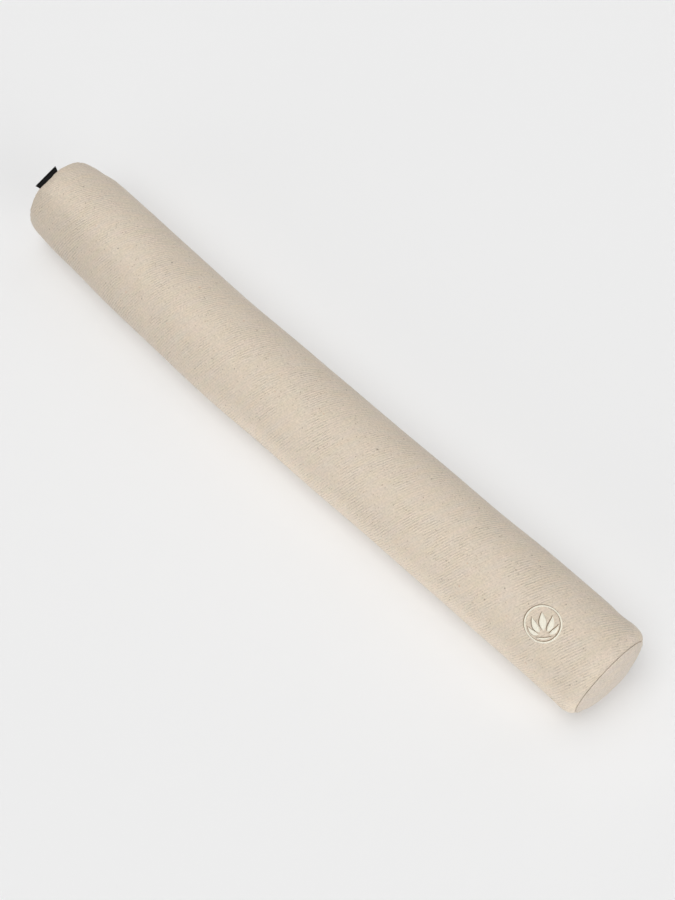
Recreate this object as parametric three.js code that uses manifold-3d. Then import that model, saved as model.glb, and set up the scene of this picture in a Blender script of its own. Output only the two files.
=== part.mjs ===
// Slim bolster pillow: a zipped canvas cover over a stitched inner bag of hull filling.
// Millimetres, +Z up. The long axis runs along X, the zip faces +Y, the flattened
// underside lies on Z = 0 and the origin is the centre of that underside.
import * as THREE from 'three';
import { mergeVertices } from 'three/addons/utils/BufferGeometryUtils.js';
import Module from 'manifold-3d';

const wasm = await Module();
wasm.setup();

// ---------- driving dimensions ----------
const HALF_LENGTH = 400;      // centre to the crown of an end panel
const RADIUS = 53;            // cover, outside
const BASE_DEPTH = 6;         // how far the weight flattens the underside
const CLOTH = 0.9;            // cover canvas
const SEAM_RADIUS = 46;       // radius of each round end seam
const SEAM_X = 389;           // centre to the end of the cover tube
const SHOULDER = 22;          // length over which the tube curves in to its seam
const ALLOWANCE = 9;          // cloth turned in at the end seams
const SEAM_GAP = 1.4;         // between tube and end panel, where the thread and label sit
const BAG_RADIUS = 51.2;      // inner bag, outside
const BAG_CLOTH = 0.6;
const FILL_GAP = 0.3;
const AROUND = 36;            // facets round the tubes

const ZIP_ANGLE = THREE.MathUtils.degToRad(100);  // from the top towards +Y
const ZIP_X0 = -94, ZIP_X1 = 306;                 // ends of the slot in the cover
const SLOT_HALF = 4.6;
const COIL_X0 = -82, COIL_X1 = 297.5;
const COIL_IN = 0.7, COIL_OUT = 3.0;              // across the chain
const COIL_LOW = 50.6, COIL_HIGH = 53.0;          // from the long axis
const TAPE_IN = 3.3, TAPE_OUT = 15.5, TAPE_LOW = 51.2, TAPE_HIGH = 51.8;
const ZIP_FLAT = 48.4;        // the inner bag is pressed flat under the zip to here

const SLIDER_X = 291.2, SLIDER_HALF = 5.5;
const PIVOT_N = 56.4;         // pull tab pivot, from the long axis
const TAB_REACH = 24, TAB_HALF = 3.0, TAB_THICK = 1.2;
const TAB_TILT = THREE.MathUtils.degToRad(5);     // the closed tab leans on the zip

const MOTIF_X = 319, MOTIF_ANGLE = THREE.MathUtils.degToRad(-24.75);
const MOTIF_RADIUS = 18.25;

const LABEL_ANGLE = THREE.MathUtils.degToRad(-15.5);
const LABEL_LEAN = THREE.MathUtils.degToRad(30);  // out past the end, from straight up
const LABEL_HALF = 15.7, LABEL_PROUD = 5.2, LABEL_THICK = 0.8;

// The filled tube isn't dead straight: it drifts sideways by a few millimetres.
function bend(x) {
  let y = 0.0103 * (x - 185);
  if (x < -95) y += 5.3 * (1 - Math.cos((Math.PI * Math.min(-95 - x, 330)) / 330));
  if (x > 310) y -= 2.7e-4 * (x - 310) ** 2;
  return y;
}

// ---------- helpers ----------
function moved(geometry, fn) {
  const p = geometry.attributes.position;
  for (let i = 0; i < p.count; i++) {
    const [x, y, z] = fn(p.getX(i), p.getY(i), p.getZ(i));
    p.setXYZ(i, x, y, z);
  }
  return geometry;
}

function clean(geometry) {
  geometry.deleteAttribute('normal');
  geometry.deleteAttribute('uv');
  const g = mergeVertices(geometry, 1e-4);
  const p = g.attributes.position, q = g.index.array;
  const keep = [];
  let v = 0;
  for (let i = 0; i < q.length; i += 3) {
    const [a, b, c] = [q[i], q[i + 1], q[i + 2]];
    if (a === b || b === c || a === c) continue;
    keep.push(a, b, c);
    v += p.getX(a) * (p.getY(b) * p.getZ(c) - p.getZ(b) * p.getY(c))
      + p.getY(a) * (p.getZ(b) * p.getX(c) - p.getX(b) * p.getZ(c))
      + p.getZ(a) * (p.getX(b) * p.getY(c) - p.getY(b) * p.getX(c));
  }
  if (v < 0) for (let i = 0; i < keep.length; i += 3) [keep[i], keep[i + 1]] = [keep[i + 1], keep[i]];
  g.setIndex(keep);
  return g;
}

function solid(geometry) {
  const g = clean(geometry);
  return new wasm.Manifold(new wasm.Mesh({
    numProp: 3,
    vertProperties: new Float32Array(g.attributes.position.array),
    triVerts: new Uint32Array(g.index.array),
  }));
}

function geometryOf(manifold) {
  const m = manifold.getMesh(), n = m.numProp;
  const v = new Float32Array(m.numVert * 3);
  for (let i = 0; i < m.numVert; i++) v.set(m.vertProperties.subarray(i * n, i * n + 3), i * 3);
  return new THREE.BufferGeometry()
    .setAttribute('position', new THREE.BufferAttribute(v, 3))
    .setIndex(new THREE.BufferAttribute(new Uint32Array(m.triVerts), 1));
}

// A round hole or disc outline, without a doubled closing point.
function circle(PathType, x, y, r, sides) {
  const points = [];
  for (let i = 0; i < sides; i++) {
    const a = (i / sides) * 2 * Math.PI;
    points.push(new THREE.Vector2(x + r * Math.cos(a), y + r * Math.sin(a)));
  }
  return new PathType(points);
}

// A profile of [x, r] pairs turned about the long axis.
function turned(profile, around = AROUND) {
  const g = new THREE.LatheGeometry(profile.map(([x, r]) => new THREE.Vector2(r, x)), around);
  return g.rotateZ(-Math.PI / 2);
}

// Unit vectors of the surface at an angle from the top, positive towards +Y.
const out = (a) => [Math.sin(a), Math.cos(a)];
const round = (a) => [Math.cos(a), -Math.sin(a)];

// (x, t, n) beside a line at that angle: t runs round the tube and n out from the axis.
function placed(geometry, a) {
  const [oy, oz] = out(a), [ry, rz] = round(a);
  return moved(geometry, (x, t, n) => [x, t * ry + n * oy, t * rz + n * oz]);
}

function block(x0, x1, t0, t1, n0, n1, steps = 1) {
  return new THREE.BoxGeometry(x1 - x0, t1 - t0, n1 - n0, steps, 1, 1)
    .translate((x0 + x1) / 2, (t0 + t1) / 2, (n0 + n1) / 2);
}

// A strip of cloth wrapped round the tube: t is measured along the arc.
function strip(x0, x1, t0, t1, r0, r1, a, steps, across = 3) {
  const g = new THREE.BoxGeometry(x1 - x0, t1 - t0, r1 - r0, steps, across, 1)
    .translate((x0 + x1) / 2, (t0 + t1) / 2, (r0 + r1) / 2);
  return moved(g, (x, t, r) => {
    const b = a + t / ((r0 + r1) / 2);
    return [x, r * Math.sin(b), r * Math.cos(b)];
  });
}

// The underside is flat, and the inner pieces are flat under the zip as well.
function settled(geometry, base, zipFlat = 1e9) {
  const [oy, oz] = out(ZIP_ANGLE);
  return moved(geometry, (x, y, z) => {
    const n = y * oy + z * oz;
    if (n > zipFlat) { y -= (n - zipFlat) * oy; z -= (n - zipFlat) * oz; }
    return [x, y, Math.max(z, -base)];
  });
}

// Half of the tube's outline, as [x, r]: straight, then round the shoulder.
function tubeProfile(radius, seamRadius, seamX, shoulder, stations, turns = 3) {
  const p = stations.map((x) => [x, radius]);
  for (let i = 1; i <= turns; i++) {
    const u = (i / turns) * Math.PI / 2;
    p.push([seamX - shoulder + shoulder * Math.sin(u), seamRadius + (radius - seamRadius) * Math.cos(u)]);
  }
  return p;
}
const STATIONS = [-305, -240, -180, -130, -95, 310, 345];
const mirror = (p) => p.map(([x, r]) => [-x, r]).reverse();

function capsule(radius, seamRadius, seamX, shoulder, straight, base, zipFlat, around = AROUND, tip = [[seamX, 0]]) {
  const right = tubeProfile(radius, seamRadius, seamX, shoulder, [straight]);
  const mids = STATIONS.map((x) => [x, radius]);
  const half = [...right, ...tip];
  return solid(settled(turned([...mirror(half), ...mids, ...half], around), base, zipFlat));
}

// An open-ended cloth tube, with an inward lip at each end where it turns in.
function sleeve(radius, seamRadius, seamX, shoulder, thick, lip, base, zipFlat = 1e9) {
  const straight = seamX - shoulder;
  const outside = capsule(radius, seamRadius, seamX, shoulder, straight, base, zipFlat);
  const inside = capsule(radius - thick, seamRadius - thick, seamX - thick, shoulder - thick, straight, base - thick, zipFlat - thick);
  const r = seamRadius - Math.max(lip, thick), end = seamX + 5;
  return outside.subtract(inside).subtract(solid(turned([[-end, 0], [-end, r], [end, r], [end, 0]])));
}

// ---------- materials ----------
const material = (name, color, roughness, metalness = 0) =>
  Object.assign(new THREE.MeshStandardMaterial({ color, roughness, metalness }), { name });
const canvas = material('canvas', 0xd8cbb5, 0.95);
const calico = material('calico', 0xe6dfcf, 0.95);
const hulls = material('hulls', 0x4a3526, 0.9);
const thread = material('thread', 0xe9dfc8, 0.7);
const backing = material('backing', 0xf2f0ea, 0.95);
const tape = material('zip_tape', 0xd2c6ae, 0.9);
const coil = material('zip_coil', 0xcdbf9f, 0.45);
const metal = material('zip_metal', 0xb9b6ae, 0.35, 1);
const black = material('black_satin', 0x121212, 0.6);
const white = material('white_satin', 0xf1efea, 0.6);

const group = new THREE.Group();
group.name = 'slim_bolster';
const AXIS_HEIGHT = RADIUS - BASE_DEPTH;

function add(name, geometry, mat) {
  const g = moved(geometry, (x, y, z) => [x, y + bend(x), z + AXIS_HEIGHT]);
  const mesh = new THREE.Mesh(clean(g), mat);
  mesh.name = name;
  group.add(mesh);
  return mesh;
}

// ---------- outer cover ----------
{
  let body = sleeve(RADIUS, SEAM_RADIUS, SEAM_X, SHOULDER, CLOTH, ALLOWANCE, AXIS_HEIGHT);
  // zip slot, with rounded ends
  const slot = new THREE.Shape();
  slot.absarc(ZIP_X1 - SLOT_HALF, 0, SLOT_HALF, -Math.PI / 2, Math.PI / 2);
  slot.absarc(ZIP_X0 + SLOT_HALF, 0, SLOT_HALF, Math.PI / 2, 1.5 * Math.PI);
  const cutter = new THREE.ExtrudeGeometry(slot, { depth: 12, bevelEnabled: false, curveSegments: 6 }).translate(0, 0, 46);
  body = body.subtract(solid(placed(cutter, ZIP_ANGLE)));
  // pressed-open allowances of the long seam, either side of the zip
  for (const [x0, x1] of [[-364, ZIP_X0 - 8], [ZIP_X1 + 8, 364]]) {
    const steps = Math.max(1, Math.round((x1 - x0) / 60));
    body = body.add(solid(strip(x0, x1, -10, 10, 50.9, 51.75, ZIP_ANGLE, steps, 4)));
    body = body.add(solid(strip(x0, x1, -0.6, 0.6, 51.5, 52.6, ZIP_ANGLE, steps, 1)));
  }
  add('cover_body', geometryOf(body), canvas);
}

const crown = (r, r0, h, power) => h * (1 - (r / r0) ** 2) ** power;
function endPanel(side) {
  const x0 = SEAM_X + SEAM_GAP, h = HALF_LENGTH - x0;
  const rings = [0, 12, 24, 34, 41, 44.5, SEAM_RADIUS];
  const outer = rings.map((r) => [x0 + crown(r, SEAM_RADIUS, h, 0.85), r]);
  const inner = rings.filter((r) => r < 42).map((r) => [x0 - CLOTH + crown(r, SEAM_RADIUS, h, 0.85), r]).reverse();
  const profile = [...outer, [x0, SEAM_RADIUS - ALLOWANCE], [x0 + CLOTH, SEAM_RADIUS - ALLOWANCE],
    [x0 + CLOTH, 43.2], ...inner];
  return turned(side > 0 ? profile : profile.map(([x, r]) => [-x, r]));
}
add('end_panel_motif_side', endPanel(1), canvas);
add('end_panel_label_side', endPanel(-1), canvas);

function threadRing(side, gapAt) {
  const x0 = SEAM_X + 0.3, x1 = SEAM_X + SEAM_GAP - 0.3;
  const p = [[x0, 43.2], [x0, 44], [x1, 44], [x1, 43.2], [x0, 43.2]];
  return turned(side > 0 ? p : p.map(([x, r]) => [-x, r]), 28);
}
add('end_seam_thread_motif_side', threadRing(1), thread);
add('end_seam_thread_label_side', threadRing(-1), thread);

// ---------- woven label: a folded strip caught in the end seam ----------
{
  const r0 = 44.3, bendAt = 46.7, r1 = bendAt + LABEL_PROUD;
  const mid = -(SEAM_X + SEAM_GAP / 2);
  const g = new THREE.BoxGeometry(LABEL_THICK, 2 * LABEL_HALF, r1 - r0, 1, 8, 6).translate(mid, 0, (r0 + r1) / 2);
  const [c, k] = [Math.cos(LABEL_LEAN), Math.sin(LABEL_LEAN)];
  moved(g, (x, t, r) => {
    const over = Math.max(0, r - bendAt), off = x - mid;
    const rr = over > 0 ? bendAt + over * c + off * k : r;
    const xx = over > 0 ? mid - over * k + off * c : x;
    const a = LABEL_ANGLE + t / 46.5;
    return [xx, rr * Math.sin(a), rr * Math.cos(a)];
  });
  add('woven_label', g, black);
}

// ---------- embroidered motif: a ring round a plain lotus ----------
// every petal is [base, control, tip, half-width], in a frame turned so that the flower points away from the label end
const PETALS = [
  [[0, -6.5], [0, 2], [0, 10], 2.7],
  [[1.6, -7.2], [6.2, -3.5], [8.8, 6.8], 2.2],
  [[-1.6, -7.2], [-6.2, -3.5], [-8.8, 6.8], 2.2],
  [[3.0, -8.4], [9.5, -7.8], [13.4, -1.2], 1.8],
  [[-3.0, -8.4], [-9.5, -7.8], [-13.4, -1.2], 1.8],
  [[-8, -10.6], [0, -14.4], [8, -10.6], 0.8],
];
const MOTIF_TURN = THREE.MathUtils.degToRad(44.6);
function motifPlate() {
  const ring = circle(THREE.Shape, 0, 0, MOTIF_RADIUS, 28);
  ring.holes.push(circle(THREE.Path, 0, 0, MOTIF_RADIUS - 1.8, 28));
  const petal = ([b, c, e, w]) => {
    const left = [], right = [];
    for (let i = 1; i < 7; i++) {
      const t = i / 7;
      const p = [0, 1].map((k) => (1 - t) ** 2 * b[k] + 2 * t * (1 - t) * c[k] + t * t * e[k]);
      const d = [0, 1].map((k) => (1 - t) * (c[k] - b[k]) + t * (e[k] - c[k]));
      const l = Math.hypot(d[0], d[1]), h = w * Math.sin(Math.PI * t ** 0.85);
      left.push(new THREE.Vector2(p[0] - (d[1] / l) * h, p[1] + (d[0] / l) * h));
      right.push(new THREE.Vector2(p[0] + (d[1] / l) * h, p[1] - (d[0] / l) * h));
    }
    const s = new THREE.Shape([new THREE.Vector2(...b), ...right, new THREE.Vector2(...e), ...left.reverse()]);
    return solid(new THREE.ExtrudeGeometry(s, { depth: 1, bevelEnabled: false }));
  };
  let m = solid(new THREE.ExtrudeGeometry(ring, { depth: 1, bevelEnabled: false }));
  for (const p of PETALS) m = m.add(petal(p));
  return geometryOf(solid(geometryOf(m).rotateZ(MOTIF_TURN)));
}
{
  // a round sheet of thread or cloth, bent to the pillow's curve in strips
  const bentDisc = (radius, thick, r0, facets) => {
    const disc = solid(new THREE.CylinderGeometry(radius, radius, thick, facets).rotateX(Math.PI / 2).translate(0, 0, thick / 2));
    let parts = null;
    const wide = (2 * radius) / 8;
    for (let i = 0; i < 8; i++) {
      const t = -radius + i * wide;
      const piece = disc.intersect(solid(new THREE.BoxGeometry(60, wide, 4).translate(0, t + wide / 2, 0)));
      const shaped = moved(geometryOf(piece), (u, v, h) => {
        const a = MOTIF_ANGLE + v / (r0 + 0.1), r = r0 + h;
        return [MOTIF_X + u, r * Math.sin(a), r * Math.cos(a)];
      });
      parts = parts ? parts.add(solid(shaped)) : solid(shaped);
    }
    return parts;
  };
  const raised = moved(motifPlate(), (u, v, h) => {
    const a = MOTIF_ANGLE + v / 53.7, r = 53.6 + 0.7 * h;
    return [MOTIF_X + u, r * Math.sin(a), r * Math.cos(a)];
  });
  add('embroidered_motif', geometryOf(solid(raised).add(bentDisc(MOTIF_RADIUS - 0.9, 0.22, 53.6, 28))), thread);
  const parts = bentDisc(22, 0.3, 51.5, 24);
  add('embroidery_backing', geometryOf(parts), backing);
}

// ---------- zip ----------
const CHAIN_STEPS = 1;
add('zip_tape_upper', strip(ZIP_X0 - 6, ZIP_X1 + 6, -TAPE_OUT, -TAPE_IN, TAPE_LOW, TAPE_HIGH, ZIP_ANGLE, 4, 3), tape);
add('zip_tape_lower', strip(ZIP_X0 - 6, ZIP_X1 + 6, TAPE_IN, TAPE_OUT, TAPE_LOW, TAPE_HIGH, ZIP_ANGLE, 4, 3), tape);
add('zip_coil_upper', placed(block(COIL_X0, COIL_X1, -COIL_OUT, -COIL_IN, COIL_LOW, COIL_HIGH, CHAIN_STEPS), ZIP_ANGLE), coil);
add('zip_coil_lower', placed(block(COIL_X0, COIL_X1, COIL_IN, COIL_OUT, COIL_LOW, COIL_HIGH, CHAIN_STEPS), ZIP_ANGLE), coil);
add('zip_top_stop_upper', placed(block(COIL_X1 + 0.3, COIL_X1 + 3, -COIL_OUT, -COIL_IN, COIL_LOW, COIL_HIGH + 0.5), ZIP_ANGLE), metal);
add('zip_top_stop_lower', placed(block(COIL_X1 + 0.3, COIL_X1 + 3, COIL_IN, COIL_OUT, COIL_LOW, COIL_HIGH + 0.5), ZIP_ANGLE), metal);
add('zip_bottom_stop', placed(block(COIL_X0 - 4.3, COIL_X0 - 0.3, -COIL_OUT, COIL_OUT, COIL_LOW, COIL_HIGH + 0.3), ZIP_ANGLE), metal);
for (const [name, s] of [['upper', -1], ['lower', 1]]) {
  add(`zip_topstitch_${name}`, placed(block(ZIP_X0, ZIP_X1, s * 7.4 - 0.3, s * 7.4 + 0.3, 52.85, 53.2), ZIP_ANGLE), thread);
}
for (const [name, x] of [['closed_end', ZIP_X1 + 3.5], ['open_end', ZIP_X0 - 3.5]]) {
  add(`zip_bar_tack_${name}`, placed(block(x - 0.9, x + 0.9, -5.5, 5.5, 53.15, 53.5), ZIP_ANGLE), thread);
}

// slider: two plates joined by a web between the coils, with a bridge for the pull
{
  const plate = (n0, n1, half, nose) => {
    const s = new THREE.Shape();
    s.moveTo(-SLIDER_HALF, -half * 0.78);
    s.lineTo(-SLIDER_HALF + 1.5, -half * 0.9);
    s.lineTo(nose, -half);
    s.quadraticCurveTo(SLIDER_HALF, -half, SLIDER_HALF, -half * 0.45);
    s.lineTo(SLIDER_HALF - 1.2, 0);
    s.lineTo(SLIDER_HALF, half * 0.45);
    s.quadraticCurveTo(SLIDER_HALF, half, nose, half);
    s.lineTo(-SLIDER_HALF + 1.5, half * 0.9);
    s.lineTo(-SLIDER_HALF, half * 0.78);
    s.closePath();
    const g = new THREE.ExtrudeGeometry(s, { depth: n1 - n0, bevelEnabled: false, curveSegments: 5 });
    return solid(g.translate(0, 0, n0));
  };
  let b = plate(53.4, 54.8, 4.1, 2.5);
  b = b.add(plate(49.0, 50.2, 4.1, 2.5));
  b = b.add(solid(block(-3.2, 4.0, -0.3, 0.3, 50.0, 53.6)));
  // bridge
  const arch = new THREE.Shape();
  arch.moveTo(-3.2, 54.6);
  arch.lineTo(-3.2, 56.6);
  arch.quadraticCurveTo(-3.0, 58.6, -1.2, 58.6);
  arch.lineTo(1.2, 58.6);
  arch.quadraticCurveTo(3.0, 58.6, 3.2, 56.6);
  arch.lineTo(3.2, 54.6);
  arch.closePath();
  const eye = new THREE.Path();
  eye.moveTo(-2.0, 55.1);
  eye.lineTo(2.0, 55.1);
  eye.lineTo(2.0, 56.9);
  eye.lineTo(1.2, 57.7);
  eye.lineTo(-1.2, 57.7);
  eye.lineTo(-2.0, 56.9);
  eye.closePath();
  arch.holes.push(eye);
  const bridge = new THREE.ExtrudeGeometry(arch, { depth: 2.0, bevelEnabled: false, curveSegments: 4 });
  moved(bridge, (x, y, z) => [x, z - 1.0, y]);
  b = b.add(solid(bridge));
  const g = geometryOf(b).translate(SLIDER_X, 0, 0);
  add('zip_slider', placed(g, ZIP_ANGLE), metal);
}

// pull tab: a loop through the bridge and a grip, lying back over the closed chain
{
  const half = [[0.6, -2.6], [0.35, -2.95], [-5.4, -TAB_HALF], [-7, -2.5], [-TAB_REACH + 3, -TAB_HALF - 0.2],
    [-TAB_REACH + 1.2, -TAB_HALF + 0.5], [-TAB_REACH, -0.7]];
  const outline = [...half, ...half.map(([x, y]) => [x, -y]).reverse()];
  let tab = solid(new THREE.ExtrudeGeometry(new THREE.Shape(outline.map(([x, y]) => new THREE.Vector2(x, y))),
    { depth: TAB_THICK, bevelEnabled: false }));
  tab = tab.subtract(solid(block(-4.6, -0.6, -1.45, 1.45, -1, 3)));
  tab = tab.subtract(solid(new THREE.CylinderGeometry(1.5, 1.5, 5, 14).rotateX(Math.PI / 2).translate(-TAB_REACH + 4.2, 0, 0)));
  tab = tab.translate(0, 0, -TAB_THICK / 2).add(solid(new THREE.CylinderGeometry(0.75, 0.75, 5.6, 20)));
  const g = geometryOf(tab);
  const [c, k] = [Math.cos(TAB_TILT), Math.sin(TAB_TILT)];
  moved(g, (x, t, n) => [SLIDER_X + x * c - n * k, t, PIVOT_N + x * k + n * c]);
  add('zip_pull_tab', placed(g, ZIP_ANGLE), metal);
}

// ---------- care label, sewn into the long seam inside the cover ----------
add('care_label', placed(block(-205, -171, -0.5, 13.5, 48.8, 49.4), ZIP_ANGLE), white);

// ---------- inner bag and filling ----------
const BAG_SEAM_R = 44, BAG_END = 386.2, BAG_CROWN = 7;
const bagCrown = (r) => crown(r, BAG_SEAM_R, BAG_CROWN, 2);
add('inner_bag_body', geometryOf(sleeve(BAG_RADIUS, BAG_SEAM_R, BAG_END, 20, BAG_CLOTH, 0, AXIS_HEIGHT - 1.8, ZIP_FLAT)), calico);
function bagEnd(side) {
  const x0 = BAG_END + 0.4, rings = [0, 14, 25, 35, BAG_SEAM_R];
  const p = [...rings.map((r) => [x0 + BAG_CLOTH + bagCrown(r), r]),
    ...rings.map((r) => [x0 + bagCrown(r), r]).reverse()];
  return turned(side > 0 ? p : p.map(([x, r]) => [-x, r]), 28);
}
add('inner_bag_end_motif_side', bagEnd(1), calico);
add('inner_bag_end_label_side', bagEnd(-1), calico);
add('inner_bag_seam_thread', placed(block(-340, 340, -0.3, 0.3, 51.35, 51.7, 12), ZIP_ANGLE + Math.PI), thread);
{
  const tip = [35, 25, 14, 0].map((q) => [BAG_END + bagCrown(q), q]);
  const filling = capsule(BAG_RADIUS - BAG_CLOTH - FILL_GAP, BAG_SEAM_R - BAG_CLOTH - 2 * FILL_GAP, BAG_END - 1, 19,
    BAG_END - 20, AXIS_HEIGHT - 1.8 - BAG_CLOTH - FILL_GAP, ZIP_FLAT - BAG_CLOTH - FILL_GAP, AROUND, tip);
  add('hull_filling', geometryOf(filling), hulls);
}

// centre the underside on the origin
const box = new THREE.Box3().setFromObject(group);
group.position.set(-(box.min.x + box.max.x) / 2, -(box.min.y + box.max.y) / 2, -box.min.z);
group.updateMatrixWorld(true);

export default group;
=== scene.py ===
import bpy
import bmesh
import math
import numpy as np
from mathutils import Matrix, Vector


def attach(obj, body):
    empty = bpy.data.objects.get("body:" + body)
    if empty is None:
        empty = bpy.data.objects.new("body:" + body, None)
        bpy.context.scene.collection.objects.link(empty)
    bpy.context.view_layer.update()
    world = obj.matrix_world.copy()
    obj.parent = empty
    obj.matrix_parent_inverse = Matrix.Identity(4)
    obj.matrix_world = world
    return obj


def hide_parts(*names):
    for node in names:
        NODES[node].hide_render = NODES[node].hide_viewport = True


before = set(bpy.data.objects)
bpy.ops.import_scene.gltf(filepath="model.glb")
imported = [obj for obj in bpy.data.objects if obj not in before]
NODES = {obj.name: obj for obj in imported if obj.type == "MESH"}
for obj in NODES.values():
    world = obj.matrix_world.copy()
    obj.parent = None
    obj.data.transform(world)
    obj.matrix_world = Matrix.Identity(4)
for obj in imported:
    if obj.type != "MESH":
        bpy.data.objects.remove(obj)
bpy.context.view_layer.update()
MM = 0.001
scene = bpy.context.scene

# ------------------------------------------------------------------ camera
CAM_AZ, CAM_EL, CAM_DIST = math.radians(44.396), math.radians(63.256), 1.71255
CAM_AIM = Vector((0.04024, -0.00905, 0.047))
back = Vector((math.sin(CAM_AZ) * math.cos(CAM_EL), -math.cos(CAM_AZ) * math.cos(CAM_EL), math.sin(CAM_EL)))
cam = bpy.data.objects.new("camera", bpy.data.cameras.new("camera"))
scene.collection.objects.link(cam)
cam.location = CAM_AIM + back * CAM_DIST
cam.rotation_mode = "QUATERNION"
cam.rotation_quaternion = (-back).to_track_quat("-Z", "Y")
cam.data.sensor_width = 36.0
cam.data.lens = 68.194
cam.data.clip_start, cam.data.clip_end = 0.01, 60
scene.camera = cam

# ------------------------------------------------------------------ the pillow's shape, in millimetres
AXH = 47.0                       # height of the long axis
ZIP = math.radians(100)          # the long seam and zip, from the top towards +Y
SEAM_R, SEAM_X = 46.0, 390.0
SLOT_X0, SLOT_X1, SLOT_HALF = -94.0, 306.0, 4.6

R_AT = np.array([(-395, 51.2), (-352, 51.5), (-328, 51.75), (-303, 52.2), (-280, 52.8), (-233, 52.9), (-185, 52.8),
                 (-140, 53.2), (-95, 53.6), (-30, 52.9), (35, 53.2), (98, 52.8), (160, 52.8), (215, 52.5), (259, 53.3),
                 (317, 53.3), (355, 53.3), (395, 53.3)])


def smooth_interp(x, table):
    """Monotone-ish smooth curve through the table, by averaging a linear one over 30 mm."""
    x = np.asarray(x, float)
    k = np.linspace(-1, 1, 9)
    w = np.cos(k * math.pi / 2) + 0.05
    return sum(wi * np.interp(x + ki * 20, table[:, 0], table[:, 1]) for ki, wi in zip(k, w)) / w.sum()


def bend(x):
    x = np.asarray(x, float)
    y = 0.0103 * (x - 185)
    y = y + np.where(x < -95, 5.3 * (1 - np.cos(np.pi * np.clip(-95 - x, 0, 330) / 330)), 0)
    y = y - np.where(x > 310, 2.7e-4 * (x - 310) ** 2, 0)
    return y - 1.519


def catmull(points, step):
    """Points along a smooth curve through the given (x, r) points, step apart."""
    p = np.array(points, float)
    p = np.vstack([2 * p[0] - p[1], p, 2 * p[-1] - p[-2]])
    out = []
    for a, b, c, d in zip(p, p[1:], p[2:], p[3:]):
        for t in np.linspace(0, 1, 24, endpoint=False):
            out.append(0.5 * (2 * b + (c - a) * t + (2 * a - 5 * b + 4 * c - d) * t * t + (3 * b - a - 3 * c + d) * t ** 3))
    out.append(p[-2])
    out = np.array(out)
    s = np.r_[0, np.cumsum(np.linalg.norm(np.diff(out, axis=0), axis=1))]
    n = max(2, int(round(s[-1] / step)))
    q = np.linspace(0, s[-1], n + 1)
    return np.c_[np.interp(q, s, out[:, 0]), np.interp(q, s, out[:, 1])]


# shoulder of the cover, as (distance from the end seam, drop from the full radius)
NEAR = [(372, 0.0), (378, 0.55), (383, 1.9), (386.6, 3.9), (388.9, 6.0), (389.85, 7.6), (389.95, 8.9), (389.3, 9.6)]
FAR = [(340, 0.0), (352, 0.35), (364, 1.1), (374, 2.3), (381, 3.7), (386, 5.1), (388.9, 6.3), (389.85, 7.6), (389.95, 8.9), (389.3, 9.6)]


def cover_profile(step_mid=3.0, step_end=1.0):
    """(x, drop) down the cover from the label end to the motif end."""
    far = catmull(FAR, step_end)[::-1]
    far[:, 0] *= -1
    near = catmull(NEAR, step_end)
    n = int(round((NEAR[0][0] + FAR[0][0]) / step_mid))
    mid = np.c_[np.linspace(-FAR[0][0], NEAR[0][0], n + 1), np.zeros(n + 1)][1:-1]
    return np.vstack([far, mid, near])


def settle(z, k=3.0):
    """The weight presses the underside flat on the floor."""
    f = lambda v: 0.5 * (v + np.sqrt(v * v + k * k))
    return np.maximum(f(z) - f(-6.0), 0.0) + 0.02


def place(x, r, th, bend_x=None):
    """Frame position in mm, from the place along, the distance from the axis and the angle from the top."""
    x, r, th = np.broadcast_arrays(np.asarray(x, float), np.asarray(r, float), np.asarray(th, float))
    b = bend(x if bend_x is None else bend_x)
    # the ends are not cut quite square
    skew = np.where(x > 0, 0.04, 0.03) * np.clip((np.abs(x) - 322) / 60, 0, 1)
    # the label's stiff strip holds the round seam straighter where it is sewn in
    deg = (np.degrees(th) + 195.5) % 360 - 180
    held = 1.9 * np.exp(-(deg / 11) ** 2) * np.clip((-x - 378) / 11, 0, 1) * np.exp(-((r - 45) / 7) ** 2)
    return np.stack([x + skew * r * np.sin(th) + held, r * np.sin(th) + b, settle(r * np.cos(th) + AXH)], -1)


# ------------------------------------------------------------------ mesh helpers
def new_object(name, verts, faces, smooth=True):
    me = bpy.data.meshes.new(name)
    me.from_pydata([tuple(v) for v in np.asarray(verts, float) * MM], [], [tuple(int(i) for i in f) for f in faces])
    me.validate()
    if smooth:
        me.polygons.foreach_set("use_smooth", [True] * len(me.polygons))
    me.update()
    o = bpy.data.objects.new(name, me)
    scene.collection.objects.link(o)
    return o


def add_vector(o, name, values):
    a = o.data.attributes.new(name, "FLOAT_VECTOR", "POINT")
    a.data.foreach_set("vector", np.asarray(values, np.float32).ravel())


def add_float(o, name, values):
    a = o.data.attributes.new(name, "FLOAT", "POINT")
    a.data.foreach_set("value", np.asarray(values, np.float32).ravel())


def grid_faces(n, m, closed=False, start=0, flip=False):
    """Quads of an n by m grid of points; closed joins the last column to the first."""
    i, j = np.meshgrid(np.arange(n - 1), np.arange(m if closed else m - 1), indexing="ij")
    jn = (j + 1) % m
    f = np.stack([i * m + j, i * m + jn, (i + 1) * m + jn, (i + 1) * m + j], -1).reshape(-1, 4) + start
    return f[:, ::-1] if flip else f


def grid_normals(P, closed):
    """Unit normals of a grid of points."""
    du = np.gradient(P, axis=0)
    if closed:
        dv = (np.roll(P, -1, 1) - np.roll(P, 1, 1))
    else:
        dv = np.gradient(P, axis=1)
    n = np.cross(dv, du)
    return n / np.maximum(np.linalg.norm(n, axis=-1, keepdims=True), 1e-9)


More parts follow.
